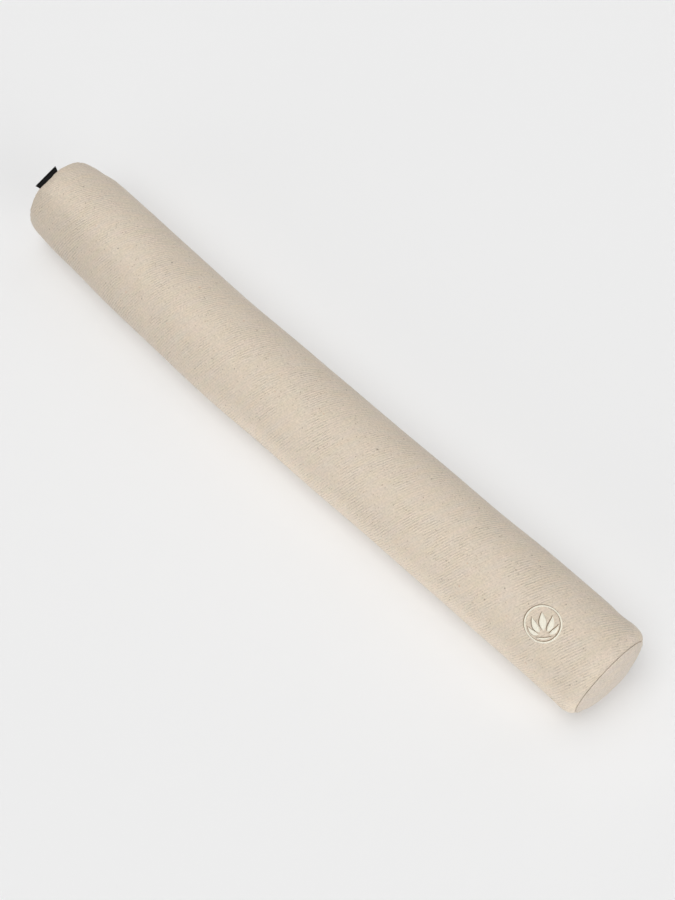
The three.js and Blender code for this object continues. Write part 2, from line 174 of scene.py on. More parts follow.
def value_noise(shape, cells, closed_v=True, seed=0):
    """Smooth noise on a grid, about -1 to 1, periodic round the second axis."""
    g = np.random.default_rng(seed)
    a, b = cells
    v = g.uniform(-1, 1, (a + 3, b))
    u = np.linspace(0, a, shape[0]); w = np.linspace(0, b, shape[1], endpoint=not closed_v)
    iu = np.minimum(u.astype(int), a); fu = u - iu
    iw = w.astype(int) % b; fw = w - w.astype(int)
    s = lambda t: t * t * (3 - 2 * t)
    fu, fw = s(fu)[:, None], s(fw)[None]
    A = v[iu][:, iw]; B = v[iu + 1][:, iw]; Cc = v[iu][:, (iw + 1) % b]; D = v[iu + 1][:, (iw + 1) % b]
    return (A * (1 - fu) + B * fu) * (1 - fw) + (Cc * (1 - fu) + D * fu) * fw


# ------------------------------------------------------------------ cloth simulation of the filled cover
def simulate_cover():
    """A straight canvas tube is gathered at both ends onto end panels smaller than itself, while the filling swells it.
    Returns how far it ends up outside the drawn shape, in mm, on a grid of (x, angle)."""
    frames = 30
    prof = cover_profile(6.0, 4.0)
    prof = prof[(np.arange(len(prof)) > 1) & (np.arange(len(prof)) < len(prof) - 2)]
    n, m = len(prof), 84
    th = np.linspace(0, 2 * math.pi, m, endpoint=False)
    r = smooth_interp(prof[:, 0], R_AT) - prof[:, 1]
    s = np.r_[0, np.cumsum(np.hypot(np.diff(prof[:, 0]), np.diff(r)))]
    wave = np.random.default_rng(5).normal(0, 0.10, (n, m))
    ring = lambda x, rr: np.stack(np.broadcast_arrays(x[:, None], rr * np.sin(th), rr * np.cos(th)), -1)
    cut = ring(s - s[-1] / 2 + prof[:, 0].mean(), np.full((n, 1), 52.2) + wave)
    sewn = ring(prof[:, 0], r[:, None] + 0 * wave)
    o = new_object("cover_sim", cut.reshape(-1, 3), grid_faces(n, m, closed=True, flip=True))
    o.shape_key_add(name="Basis")
    key = o.shape_key_add(name="sewn", from_mix=False)
    key.data.foreach_set("co", (sewn.reshape(-1, 3) * MM).astype(np.float32).ravel())
    for frame_no, value in ((1, 0.0), (frames // 2, 1.0)):
        key.value = value
        key.keyframe_insert("value", frame=frame_no)
    pins = o.vertex_groups.new(name="pins")
    pins.add([int(i) for i in list(range(m)) + list(range((n - 1) * m, n * m))], 1.0, "REPLACE")
    mod = o.modifiers.new("cloth", "CLOTH")
    c = mod.settings
    c.quality = 6
    c.mass = 0.01
    c.tension_stiffness = c.compression_stiffness = 15
    c.shear_stiffness = 5
    c.bending_stiffness = 0.01
    c.air_damping = 2.0
    c.vertex_group_mass = "pins"
    c.use_pressure = True
    c.uniform_pressure_force = 20.0
    c.effector_weights.gravity = 0.0
    scene.frame_start, scene.frame_end = 1, frames
    mod.point_cache.frame_start, mod.point_cache.frame_end = 1, frames
    for f in range(1, frames + 1):
        scene.frame_set(f)
    e = o.evaluated_get(bpy.context.evaluated_depsgraph_get())
    co = np.zeros(len(e.data.vertices) * 3, np.float32)
    e.data.vertices.foreach_get("co", co)
    co = co.reshape(n, m, 3) / MM
    out = co[..., 1] * np.sin(th) + co[..., 2] * np.cos(th) - r[:, None]
    action = o.data.shape_keys.animation_data.action
    bpy.data.objects.remove(o)
    bpy.data.actions.remove(action)
    scene.frame_set(1)
    return prof[:, 0], th, out


def sim_relief():
    x, th, out = simulate_cover()
    # the wide swell belongs to the filling, and what is kept is the cloth's own waves
    k = 7
    pad = np.concatenate([out[:, -k:], out, out[:, :k]], 1)
    wide = np.mean([pad[:, i:i + out.shape[1]] for i in range(2 * k + 1)], 0)
    wide = np.mean([np.roll(wide, d, 0) for d in range(-1, 2)], 0)
    wide[:2] = wide[2]; wide[-2:] = wide[-3]
    fine = out - wide
    return x, th, 0.22 * np.clip(fine, -1.6, 1.6)


SIM = sim_relief()


def relief(x, th):
    """Cloth waves at any place on the cover, by bilinear reading of the simulated grid."""
    if SIM is None:
        return np.zeros(np.broadcast(x, th).shape)
    gx, gt, f = SIM
    x, th = np.broadcast_arrays(x, th)
    u = np.interp(x, gx, np.arange(len(gx)))
    v = (th % (2 * math.pi)) / (2 * math.pi) * len(gt)
    i = np.clip(u.astype(int), 0, len(gx) - 2); fu = u - i
    j = v.astype(int) % len(gt); fv = v - np.floor(v)
    j2 = (j + 1) % len(gt)
    s = lambda t: t * t * (3 - 2 * t)
    fv = s(fv)
    return (f[i, j] * (1 - fu) + f[i + 1, j] * fu) * (1 - fv) + (f[i, j2] * (1 - fu) + f[i + 1, j2] * fu) * fv


# ------------------------------------------------------------------ the cover tube
def smoothstep(a, b, x):
    t = np.clip((x - a) / (b - a), 0, 1)
    return t * t * (3 - 2 * t)


def slot_half(x):
    """Half the width between the two folded edges of the long seam."""
    x = np.asarray(x, float)
    inside = smoothstep(SLOT_X0 - 1, SLOT_X0 + 6, x) * (1 - smoothstep(SLOT_X1 - 6, SLOT_X1 + 1, x))
    return 0.12 + (SLOT_HALF - 0.12) * inside


def ang_noise(th, seed, terms):
    g = np.random.default_rng(seed)
    out = 0
    for k in terms:
        out = out + g.normal() * np.cos(k * th + g.uniform(0, 2 * math.pi))
    return out / math.sqrt(len(terms))


def puckers(x, th, end):
    """Small tucks where the cloth is eased into an end seam; a few are sharper than the rest."""
    d = np.maximum(0, (SEAM_X - x) if end > 0 else (x + SEAM_X))
    fine = ang_noise(th, 11 if end > 0 else 12, range(22, 41, 3))
    wide = ang_noise(th, 13 if end > 0 else 14, range(7, 17, 2))
    out = 0.34 * fine * np.exp(-d / 4.5) + 0.40 * wide * np.exp(-d / 13)
    tucks = [(268, 3.2, 1.5, 9), (228, 3.6, 1.0, 7), (302, 4.5, 0.7, 12), (24, 5, 0.6, 12), (352, 4, 0.45, 9), (66, 4, 0.8, 10)] if end > 0 else \
            [(255, 4, 1.0, 12), (300, 5, 0.9, 16), (322, 5, 0.5, 14), (60, 5, 0.9, 16), (110, 4, 0.8, 9), (190, 4, 0.9, 8)]
    if end > 0:
        # rolls of eased cloth beside the seam, where it crosses the top
        deg = (np.degrees(th) + 180) % 360 - 180
        for c, spread, d0, wide_, high in ((-2, 26, 4.6, 1.0, 0.42), (4, 20, 7.6, 1.1, 0.30), (-8, 16, 10.8, 1.2, 0.20)):
            out = out + high * np.exp(-((deg - c) / spread) ** 2) * np.exp(-((d - d0 - 0.05 * (deg - c)) / wide_) ** 2)
    for a, w, depth, reach in tucks:
        da = (np.degrees(th) - a + 180) % 360 - 180
        out = out - depth * np.exp(-(da / w) ** 2) * np.exp(-d / reach) + 0.35 * depth * np.exp(-((np.abs(da) - 1.8 * w) / w) ** 2) * np.exp(-d / reach)
    return out


def lumps(x, th):
    """The filling shows through as wide, shallow unevenness."""
    g = np.random.default_rng(23)
    out = 0
    for _ in range(22):
        kx, kt = g.uniform(1.2, 7.5) * 2 * math.pi / 800, int(g.integers(0, 5))
        out = out + g.normal() * np.cos(kx * x + kt * th + g.uniform(0, 6.28)) / (1 + 0.25 * kt)
    return out * 0.045


ARC = 2 * math.pi * 53.0
MOTIF_X, MOTIF_ANGLE = 319.0, math.radians(-24.75)
MOTIF_ARC = 53.0 * (MOTIF_ANGLE - ZIP)


def wrap(a):
    """Arc from the seam line, in mm, brought to plus or minus half a turn."""
    return (np.asarray(a, float) + ARC / 2) % ARC - ARC / 2


def cover_radius(x, drop, a, seam=True):
    """Distance of the cover's outside from the axis; a is the arc from the seam line, positive downwards."""
    a = wrap(a)
    x, drop, a = np.broadcast_arrays(np.asarray(x, float), np.asarray(drop, float), a)
    th = ZIP + a / 53.0
    r = smooth_interp(x, R_AT) - drop
    # away from the zip, which stands a little proud, the cloth is drawn in
    r = r - 1.25 * smoothstep(11, 24, np.abs(a)) * smoothstep(0, 26, 389 - np.abs(x))
    low = 0.5 + 0.5 * np.cos(th)                     # 1 at the top, 0 underneath
    calm = 0.2 + 0.8 * smoothstep(10, 24, np.abs(a))  # the cloth lies flat on the zip tape
    flat = 1 - 0.8 * np.exp(-(((x - MOTIF_X) ** 2 + (a - MOTIF_ARC) ** 2) / 24 ** 2) ** 2)
    r = r + lumps(x, th) * np.clip((390 - np.abs(x)) / 40, 0, 1) * calm
    r = r + relief(x, th) * (0.35 + 0.65 * low) * calm * flat
    r = r + np.where(x > 0, puckers(x, th, 1), puckers(x, th, -1)) * np.where(drop < 6.5, 1.0, 0.6)
    # the shoulders beside the zip are slightly crushed
    deg = (np.degrees(th) + 180) % 360 - 180
    r = r - 1.9 * np.exp(-((deg - 76) / 24) ** 2) * smoothstep(350, 370, -x) * (1 - smoothstep(6.4, 8.4, drop))
    r = r - 0.8 * np.exp(-((deg - 72) / 20) ** 2) * smoothstep(345, 358, x) * (1 - smoothstep(362, 374, x))
    if not seam:
        return r
    half = slot_half(x)
    near_edge = np.maximum(0, (np.abs(a) - half)) * ARC / (ARC - 2 * half)
    in_slot = (half - 0.12) / (SLOT_HALF - 0.12)
    # the seam lies in a shallow valley; at the zip the folded edges are rounded over and stitched down
    valley = 1.15 * np.exp(-(near_edge / 1.5) ** 1.4) * (1 - in_slot)
    fold = (0.95 * np.exp(-(near_edge / 0.5) ** 1.6) - 0.30 * np.exp(-((near_edge - 1.6) / 1.5) ** 2)) * in_slot
    stitch_line = 0.28 * np.exp(-((near_edge - 2.8) / 0.55) ** 2) * in_slot
    # the embroidery draws the cloth in a little round its ring
    d = np.hypot(x - MOTIF_X, a - MOTIF_ARC)
    drawn = 0.22 * np.exp(-((d - 19.6) / 1.6) ** 2) + 0.15 * np.exp(-(d / 17.0) ** 6)
    return r - (valley + fold + stitch_line) * np.clip((380 - np.abs(x)) / 12, 0, 1) - drawn


def cover_rows():
    """(x, drop) of every row of the cover, with more rows where the zip's slot ends."""
    ends = cover_profile(2.2, 0.8)
    k0 = np.argmax(ends[:, 0] > -330)
    k1 = len(ends) - np.argmax(ends[::-1, 0] < 330)
    mid = ends[k0:k1, 0]
    extra = np.r_[np.arange(SLOT_X0 - 3, SLOT_X0 + 9, 0.7), np.arange(SLOT_X1 - 9, SLOT_X1 + 3, 0.7)]
    mid = np.unique(np.round(np.r_[mid, extra], 2))
    keep = np.r_[True, np.diff(mid) > 0.25]
    mid = mid[keep]
    return np.vstack([ends[:k0], np.c_[mid, np.zeros(len(mid))], ends[k1:]])


def make_cover():
    prof = cover_rows()
    m = 190
    edge = np.array([0, 0.35, 0.7, 1.1, 1.6, 2.2, 3.0, 4.0, 5.2, 6.6])
    inner = np.linspace(8.4, ARC - 8.4, m - 2 * len(edge))
    dist = np.r_[edge, inner, ARC - edge[::-1]]
    half = slot_half(prof[:, 0])
    # each row runs from one folded edge, round the tube, to the other
    a = half[:, None] + dist[None] * ((ARC - 2 * half) / ARC)[:, None]
    r = cover_radius(prof[:, :1], prof[:, 1:], a)
    return place(prof[:, :1], r, ZIP + a / 53.0), prof, dist, a


PROFILE = cover_profile(2.2, 0.8)
_k = np.argmax(PROFILE[:, 0]) + 1
_j = np.argmin(PROFILE[:, 0])
DROP_X, DROP_R = PROFILE[_j:_k, 0], PROFILE[_j:_k, 1]


def drop_at(x):
    return np.interp(x, DROP_X, DROP_R)


def skin(x, a, lift=0.0):
    """A place on the cover's outside, or lift mm above it."""
    return place(x, cover_radius(x, drop_at(x), a) + lift, ZIP + wrap(a) / 53.0)


def zip_place(x, t, n):
    """A place beside the zip's line: t across it, positive downwards, n from the axis."""
    x, t, n = np.broadcast_arrays(np.asarray(x, float), np.asarray(t, float), np.asarray(n, float))
    return np.stack([x, t * math.cos(ZIP) + n * math.sin(ZIP) + bend(x), AXH - t * math.sin(ZIP) + n * math.cos(ZIP)], -1)


def thick_sheet(name, P, thickness, coords):
    """A closed sheet: the outer grid, an inner grid one thickness in, and a strip round the edge."""
    n, m = P.shape[:2]
    nrm = grid_normals(P, False)
    out = P - np.stack([P[..., 0], bend(P[..., 0]), 0 * P[..., 0] + AXH], -1)
    nrm = nrm * (1 if np.sum(nrm * out) > 0 else -1)
    Q = P - nrm * thickness
    verts = np.vstack([P.reshape(-1, 3), Q.reshape(-1, 3)])
    outer = grid_faces(n, m, start=0)
    inner = grid_faces(n, m, start=n * m, flip=True)
    ring = np.r_[np.arange(m), np.arange(1, n) * m + m - 1, (n - 1) * m + np.arange(m - 2, -1, -1), np.arange(n - 2, 0, -1) * m]
    nxt = np.roll(ring, -1)
    edge = np.stack([ring, ring + n * m, nxt + n * m, nxt], -1)
    o = new_object(name, verts, np.vstack([outer, inner, edge]))
    add_vector(o, "weave_co", np.vstack([coords.reshape(-1, 3)] * 2) * MM)
    return o


def fix_normals(o):
    bm = bmesh.new()
    bm.from_mesh(o.data)
    bmesh.ops.recalc_face_normals(bm, faces=bm.faces)
    bm.to_mesh(o.data)
    bm.free()
    return o


P, prof, dist, arc_at = make_cover()
row_s = np.r_[0, np.cumsum(np.hypot(np.diff(prof[:, 0]), np.diff(prof[:, 1])))]
coords = np.stack(np.broadcast_arrays(row_s[:, None] - 395, dist[None], 0 * arc_at), -1)
cover = fix_normals(thick_sheet("cover_tube", P, 0.85, coords))
# painted light and shade in the cloth's colour: paler along one lower side towards the motif end, a painted highlight,
# and a little darker towards the label, painted shade
side = (np.degrees(ZIP + arc_at / 53.0) + 180) % 360 - 180
painted_light_and_shade = 0.20 * smoothstep(60, 92, -side) * (1 - smoothstep(125, 155, -side)) * smoothstep(-170, -40, prof[:, :1]) \
    - np.interp(prof[:, :1], [-340, -290, -200, -100, 0, 90], [0.16, 0.14, 0.07, 0.05, 0.02, 0]) * smoothstep(14, 46, -side) * (1 - smoothstep(125, 155, -side))
add_float(cover, "painted_light_and_shade", np.r_[painted_light_and_shade.ravel(), painted_light_and_shade.ravel()])

# ------------------------------------------------------------------ end panels
PANEL = [(0, 9.6), (8, 9.35), (16, 8.7), (24, 7.5), (31, 5.9), (36.5, 4.2), (40.5, 2.7), (43.2, 1.55), (44.9, 0.8), (45.5, 0.32), (45.3, 0.1), (44.4, 0.04), (42.5, 0.08)]
PANEL_FAR = [(0, 7.6), (8, 7.35), (16, 6.65), (24, 5.45), (31, 3.95), (36.5, 2.5), (40, 1.45), (41.8, 0.85), (42.7, 0.45), (42.9, 0.2), (42.6, 0.06), (41.6, 0.04), (40.0, 0.08)]


def make_panel(name, end):
    prof = catmull([(b, a) for a, b in (PANEL if end > 0 else PANEL_FAR)], 0.9)[:, ::-1]   # (r, out)
    r, out = prof[:, 0], prof[:, 1]
    r[0] = 0.0
    rim = r.max()
    m = 168
    th = np.linspace(0, 2 * math.pi, m, endpoint=False)
    R = r[1:, None] + 0 * th
    O = out[1:, None] + 0 * th
    d = np.maximum(0, rim - R)
    face = (O > 0.3)
    fine = ang_noise(th, 31 if end > 0 else 32, range(20, 37, 3))
    wide = ang_noise(th, 33 if end > 0 else 34, range(5, 14, 2))
    O = O + face * (0.28 * fine * np.exp(-d / 3.5) + 0.5 * wide * np.exp(-d / 9) * (1 - np.exp(-d / 1.5)))
    # soft creases near the seam, and a slow unevenness over the middle
    for a, rr, w, depth in ([(335, 33, 2.0, 0.7), (350, 37, 1.6, 0.55), (300, 38, 2.2, 0.6), (20, 36, 2.2, 0.45), (215, 42, 1.6, 1.0), (238, 40, 2.0, 0.9)] if end > 0 else
                            [(100, 36, 2.2, 0.6), (200, 38, 2.4, 0.8), (300, 35, 2.6, 0.5)]):
        da = (np.degrees(th)[None] - a + 180) % 360 - 180
        O = O - face * depth * np.exp(-((R - rr - 0.04 * da) / w) ** 2) * np.exp(-(da / 24) ** 2)
    O = O + face * 0.35 * (R / 46) * ang_noise(th, 35 if end > 0 else 36, range(1, 5)) * (1 - (R / 46) ** 2) * 2
    if end > 0:
        R = R + 0.25 * fine * np.exp(-d / 2.0)
    x = end * (390.22 + O)
    P = place(x, R, th + 0 * R, bend_x=np.clip(x, -392, 392))
    centre = place(end * (390.22 + out[0]), 0.0, 0.0, bend_x=end * 392.0)[None]
    n = P.shape[0]
    verts = np.vstack([centre, P.reshape(-1, 3)])
    faces = [(0, 1 + j, 1 + (j + 1) % m) for j in range(m)] + [tuple(f) for f in grid_faces(n, m, closed=True, start=1)]
    # back skin, so that the panel is a closed piece of cloth
    nrm = grid_normals(P, True)
    if np.mean(nrm[: n // 2, :, 0]) * end < 0:
        nrm = -nrm
    Q = P - nrm * 0.85
    base = len(verts)
    verts = np.vstack([verts, centre - np.array([[end * 0.85, 0, 0]]), Q.reshape(-1, 3)])
    faces += [(base, base + 1 + (j + 1) % m, base + 1 + j) for j in range(m)]
    faces += [tuple(f) for f in grid_faces(n, m, closed=True, start=base + 1, flip=True)]
    last = 1 + (n - 1) * m
    faces += [(last + j, base + last + j, base + last + (j + 1) % m, last + (j + 1) % m) for j in range(m)]
    me_o = new_object(name, verts, faces)
    c = np.vstack([[[0, 0, 0]], np.stack([R * np.sin(th), R * np.cos(th), 0 * R], -1).reshape(-1, 3)])
    add_vector(me_o, "weave_co", np.vstack([c, c]) * MM + np.array([[0.9 * end, 0.4, 0]]))
    return fix_normals(me_o)


panel_motif = make_panel("end_panel_by_motif", 1)
panel_label = make_panel("end_panel_by_label", -1)

# ------------------------------------------------------------------ thread
def stitches(name, centre, along, up, length, radius, sag=0.12, sides=6, seed=0):
    """Short lengths of thread, each with its ends pulled down into the cloth. centre, along, up: (n, 3)."""
    centre = np.asarray(centre, float)
    g = np.random.default_rng(seed)
    n = len(centre)
    along = np.broadcast_to(np.asarray(along, float), (n, 3)).copy()
    up = np.broadcast_to(np.asarray(up, float), (n, 3))
    side = np.cross(along, up)
    side /= np.linalg.norm(side, axis=1, keepdims=True)
    along = along + side * g.normal(0, 0.035, (n, 1))
    along /= np.linalg.norm(along, axis=1, keepdims=True)
    length = np.broadcast_to(np.asarray(length, float), (n,)) * (1 + g.normal(0, 0.03, n))
    s = np.array([-1, -0.93, -0.75, -0.4, 0, 0.4, 0.75, 0.93, 1.0])
    rad = radius * np.array([0.35, 0.78, 0.98, 1.0, 1.0, 1.0, 0.98, 0.78, 0.35])
    drop = -sag * np.abs(s) ** 3
    al = np.linspace(0, 2 * math.pi, sides, endpoint=False)
    P = (centre[:, None, None] + along[:, None, None] * (s[None, :, None, None] * length[:, None, None, None] / 2)
         + up[:, None, None] * (drop[None, :, None, None] + rad[None, :, None, None] * np.cos(al)[None, None, :, None])
         + side[:, None, None] * (rad[None, :, None, None] * np.sin(al)[None, None, :, None]))
    k = len(s)
    verts = P.reshape(-1, 3)
    one = grid_faces(k, sides, closed=True)
    faces = [tuple(f + i * k * sides) for i in range(n) for f in one]
    for i in range(n):
        faces.append(tuple(i * k * sides + j for j in range(sides)))
        faces.append(tuple(i * k * sides + (k - 1) * sides + j for j in reversed(range(sides))))
    o = new_object(name, verts, faces)
    add_vector(o, "thread_co", np.broadcast_to((np.stack([s * 0.5, 0 * s, 0 * s], -1))[None, :, None], (n, k, sides, 3)).reshape(-1, 3) * np.array([1.0, 0, 0])
               + np.repeat(np.arange(n), k * sides)[:, None] * np.array([0, 0.37, 0]))
    return fix_normals(o)


def tube(name, path, radius, sides=6, closed=False, up=(0, 0, 1)):
    """A round wire along a path of points."""
    path = np.asarray(path, float)
    t = np.gradient(path, axis=0)
    t /= np.linalg.norm(t, axis=1, keepdims=True)
    u = np.asarray(up, float) - t * (t @ np.asarray(up, float))[:, None]
    u /= np.linalg.norm(u, axis=1, keepdims=True)
    v = np.cross(t, u)
    al = np.linspace(0, 2 * math.pi, sides, endpoint=False)
    P = path[:, None] + radius * (u[:, None] * np.cos(al)[None, :, None] + v[:, None] * np.sin(al)[None, :, None])
    n = len(path)
    faces = [tuple(f) for f in grid_faces(n, sides, closed=True)]
    faces += [tuple(range(sides)), tuple((n - 1) * sides + j for j in reversed(range(sides)))]
    return fix_normals(new_object(name, P.reshape(-1, 3), faces))


def frame_at(fn, x, a, e=0.4):
    """Point, direction along x, direction round the tube, and outward normal at a place on a surface."""
    p = fn(x, a)
    dx = fn(x + e, a) - fn(x - e, a)
    da = fn(x, a + e) - fn(x, a - e)
    dx /= np.linalg.norm(dx, axis=-1, keepdims=True)
    n = np.cross(da, dx)
    n /= np.linalg.norm(n, axis=-1, keepdims=True)
    out = p - np.stack([p[..., 0], bend(p[..., 0]), 0 * p[..., 0] + AXH], -1)
    n = n * np.sign(np.sum(n * out, -1, keepdims=True))
    return p, dx, np.cross(n, dx), n


# ------------------------------------------------------------------ inner bag of hulls
def inside(x, a, depth):
    """A place below the cover, depth mm in, and kept under the zip's lower plate."""
    x, a, depth = np.broadcast_arrays(np.asarray(x, float), np.asarray(a, float), np.asarray(depth, float))
    e = 0.8
    f = lambda xx, aa: place(xx, cover_radius(xx, drop_at(xx), aa, seam=False), ZIP + wrap(aa) / 53.0)
    p, dx, da, n = frame_at(f, x, a, e)
    q = p - n * depth[..., None]
    # flat under the zip
    axis = np.stack([x, bend(x), 0 * x + AXH], -1)
    zdir = np.array([0, math.sin(ZIP), math.cos(ZIP)])
    h = (q - axis) @ zdir
    lim = 48.3 - (depth - 1.75)
    k = 0.5
    over = np.where(np.abs(x) < 372, 0.5 * ((h - lim) + np.sqrt((h - lim) ** 2 + k * k)), 0)
    over = over * np.clip((372 - np.abs(x)) / 20, 0, 1)
    return q - over[..., None] * zdir


def closed_sleeve(name, xs, m, outer, inner):
    """A tube of cloth with thickness: outer and inner are functions of (x, arc)."""
    a = np.linspace(0, ARC, m, endpoint=False)
    P = outer(xs[:, None], a[None])
    Q = inner(xs[:, None], a[None])
    n = len(xs)
    faces = [tuple(f) for f in grid_faces(n, m, closed=True)] + [tuple(f) for f in grid_faces(n, m, closed=True, start=n * m, flip=True)]
    for base in (0, (n - 1) * m):
        faces += [(base + j, n * m + base + j, n * m + base + (j + 1) % m, base + (j + 1) % m) for j in range(m)]
    o = new_object(name, np.vstack([P.reshape(-1, 3), Q.reshape(-1, 3)]), faces)
    co = np.stack(np.broadcast_arrays(xs[:, None], a[None], 0 * a[None]), -1).reshape(-1, 3) * MM
    add_vector(o, "weave_co", np.vstack([co, co]))
    return fix_normals(o)


BAG_X = 383.0


def bag_waves(x, a):
    """Gathers near the ends and small waves along the bag, in mm inwards."""
    d = BAG_X - np.abs(x)
    th = a / 53.0
    return (0.35 + 0.35 * np.cos(th * 26 + np.sign(x))) * np.exp(-d / 16.0) + 0.18 + 0.18 * np.cos(th * 7 + x / 31.0)


def make_bag():
    xs = np.linspace(-BAG_X, BAG_X, 160)
    bag = closed_sleeve("inner_bag", xs, 96, lambda x, a: inside(x, a, 1.75 + bag_waves(x, a)), lambda x, a: inside(x, a, 2.25 + bag_waves(x, a)))
    out = [bag]
    for end, label in ((1, "motif"), (-1, "label")):
        # the bag's round end: gathered into a seam, then nearly flat
        m = 96
        a = np.linspace(0, ARC, m, endpoint=False)
        rim = inside(np.full((1, m), end * BAG_X), a[None], 2.0 + bag_waves(np.full((1, m), end * BAG_X), a[None]))[0]
        mid = place(end * BAG_X, 0.0, 0.0)
        rows, coords = [], []
        for share, push in ((0.985, 1.0), (0.965, 2.0), (0.94, 2.6), (0.915, 2.5), (0.90, 2.2), (0.86, 2.6), (0.78, 3.4), (0.64, 4.4), (0.46, 5.2), (0.24, 5.7), (0.08, 5.85)):
            fold = 0.22 * np.cos(a / 53.0 * 26) * math.exp(-((0.95 - share) / 0.08) ** 2)
            ring = mid + (rim - mid) * share
            ring[:, 0] = end * (BAG_X + push + fold)
            rows.append(ring)
            coords.append(np.stack([share * 46 * np.cos(a / 53.0), share * 46 * np.sin(a / 53.0), 0 * a], -1))
        P = np.stack(rows)
        Q = P.copy(); Q[..., 0] -= end * 0.5
        Q[0] = Q[0] * 1.0
        n = len(rows)
        centre = np.array([[end * (BAG_X + 5.9), mid[1], mid[2]]])
        verts = np.vstack([P.reshape(-1, 3), centre, Q.reshape(-1, 3), centre - [[end * 0.5, 0, 0]]])
        c0, q0 = n * m, n * m + 1
        faces = [tuple(f) for f in grid_faces(n, m, closed=True)] + [((n - 1) * m + j, (n - 1) * m + (j + 1) % m, c0) for j in range(m)]
        faces += [tuple(q0 + i for i in f) for f in grid_faces(n, m, closed=True, flip=True)] + [(q0 + (n - 1) * m + (j + 1) % m, q0 + (n - 1) * m + j, q0 + n * m) for j in range(m)]
        faces += [(j, q0 + j, q0 + (j + 1) % m, (j + 1) % m) for j in range(m)]
        o = new_object("inner_bag_end_by_" + label, verts, faces)
        co = np.vstack([np.array(coords).reshape(-1, 3), [[0, 0, 0]]]) * MM
        add_vector(o, "weave_co", np.vstack([co, co]))
        out.append(fix_normals(o))
    # the bag's long seam, a ridge of thread stitches on the side away from the zip
    x = np.arange(-338, 338, 3.1)
    p, dx, da, nn = frame_at(lambda xx, aa: inside(xx, aa, 1.72 + bag_waves(xx, aa)), x, np.full(len(x), ARC / 2))
    out.append(stitches("inner_bag_seam", p + nn * 0.05, dx, nn, 2.5, 0.2, seed=3))
    return out


def make_hulls():
    """The filling: the outside of a packed mass of hulls, each a little curved flake."""
    n, m = 380, 166
    g = np.random.default_rng(77)
    xs = np.linspace(-BAG_X + 3, BAG_X - 3, n)
    a = np.linspace(0, ARC, m, endpoint=False)
    A, X = np.meshgrid(a, xs)
    cells_x, cells_a = 150, 64                    # hulls about 5 mm across
    fx = (np.arange(cells_x)[:, None] + g.uniform(0.1, 0.9, (cells_x, cells_a))) / cells_x
    fa = (np.arange(cells_a)[None] + g.uniform(0.1, 0.9, (cells_x, cells_a))) / cells_a
    turn = g.uniform(0, math.pi, (cells_x, cells_a))
    tall = g.uniform(0.55, 1.15, (cells_x, cells_a))
    ux = (X - xs[0]) / (xs[-1] - xs[0]); ua = A / ARC
    ix = np.clip((ux * cells_x).astype(int), 0, cells_x - 1); ia = (ua * cells_a).astype(int) % cells_a
    best = np.full(X.shape, -9.0)
    for dx in (-1, 0, 1):
        for da in (-1, 0, 1):
            jx = np.clip(ix + dx, 0, cells_x - 1); ja = (ia + da) % cells_a
            px = (ux - fx[jx, ja]) * (xs[-1] - xs[0])
            pa = ((ua - fa[jx, ja] + 0.5) % 1 - 0.5) * ARC
            c, s_ = np.cos(turn[jx, ja]), np.sin(turn[jx, ja])
            u, v = px * c + pa * s_, -px * s_ + pa * c
            d = np.sqrt((u / 3.6) ** 2 + (v / 2.6) ** 2)
            best = np.maximum(best, tall[jx, ja] * (1 - d ** 2) + 0.10 * np.cos(u * 2.2) * (d < 1))
    bump = np.clip(best, -0.6, 1.2)
    P = inside(X, A, 3.55 - 0.85 * bump)
    mid = [place(np.array(x), 0.0, 0.0) for x in (xs[0], xs[-1])]
    rows = [P]
    caps = []
    for e, row in ((0, P[0]), (1, P[-1])):
        ring = []
        for share, push in ((0.97, 0.5), (0.9, 0.9), (0.75, 1.2), (0.5, 1.5), (0.22, 1.6)):
            q = mid[e] + (row - mid[e]) * share
            q[:, 0] = (row[:, 0].mean() + (push + 0.35 * np.cos(np.arange(m) * 2.7 + share * 40)) * (1 if e else -1))
            ring.append(q)
        caps.append(np.stack(ring))
    G = np.concatenate([caps[0][::-1], P, caps[1]])
    k = len(G)
    c0 = mid[0] - [1.7, 0, 0]; c1 = mid[1] + [1.7, 0, 0]
    verts = np.vstack([G.reshape(-1, 3), [c0], [c1]])
    faces = [tuple(f) for f in grid_faces(k, m, closed=True)]
    faces += [((j + 1) % m, j, k * m) for j in range(m)] + [((k - 1) * m + j, (k - 1) * m + (j + 1) % m, k * m + 1) for j in range(m)]
    o = new_object("hulls", verts, faces)
    add_vector(o, "weave_co", np.vstack([np.repeat(np.linspace(-380, 380, k), m)[:, None] * [[1, 0, 0]] + np.tile(a, k)[:, None] * [[0, 1, 0]], [[-400, 0, 0]], [[400, 0, 0]]]) * MM)
    return fix_normals(o)


bag, bag_end_motif, bag_end_label, bag_seam = make_bag()
hulls = make_hulls()

# ------------------------------------------------------------------ zip
COIL_X0, COIL_X1, PITCH = -82.0, 297.5, 1.30


def make_tape(name, s):
    """Woven tape: flat under the cover, stepping down beside the coil."""
    xs = np.linspace(SLOT_X0 - 6, SLOT_X1 + 6, 150)
    prof = catmull([(2.3, -1.12), (3.2, -0.92), (4.2, -0.42), (5.4, 0.0), (9.0, 0.0), (13.0, 0.0), (15.4, 0.0)], 0.75)
    t, dn = prof[:, 0], prof[:, 1]
    base = lambda x, tt: cover_radius(x, 0.0, tt, seam=False) - 0.85 - 0.18
    X, T = xs[:, None], s * t[None]
    r = base(X, T) + dn[None] + 0.05 * np.sin(X / 9 + T)
    r = np.minimum(r, 52.0 + dn[None])
    P = place(X, r, ZIP + T / 52.0)
    co = np.stack(np.broadcast_arrays(X, t[None], 0 * r), -1)
    o = thick_sheet(name, P if s > 0 else P[:, ::-1], 0.5, co if s > 0 else co[:, ::-1])
    return fix_normals(o)


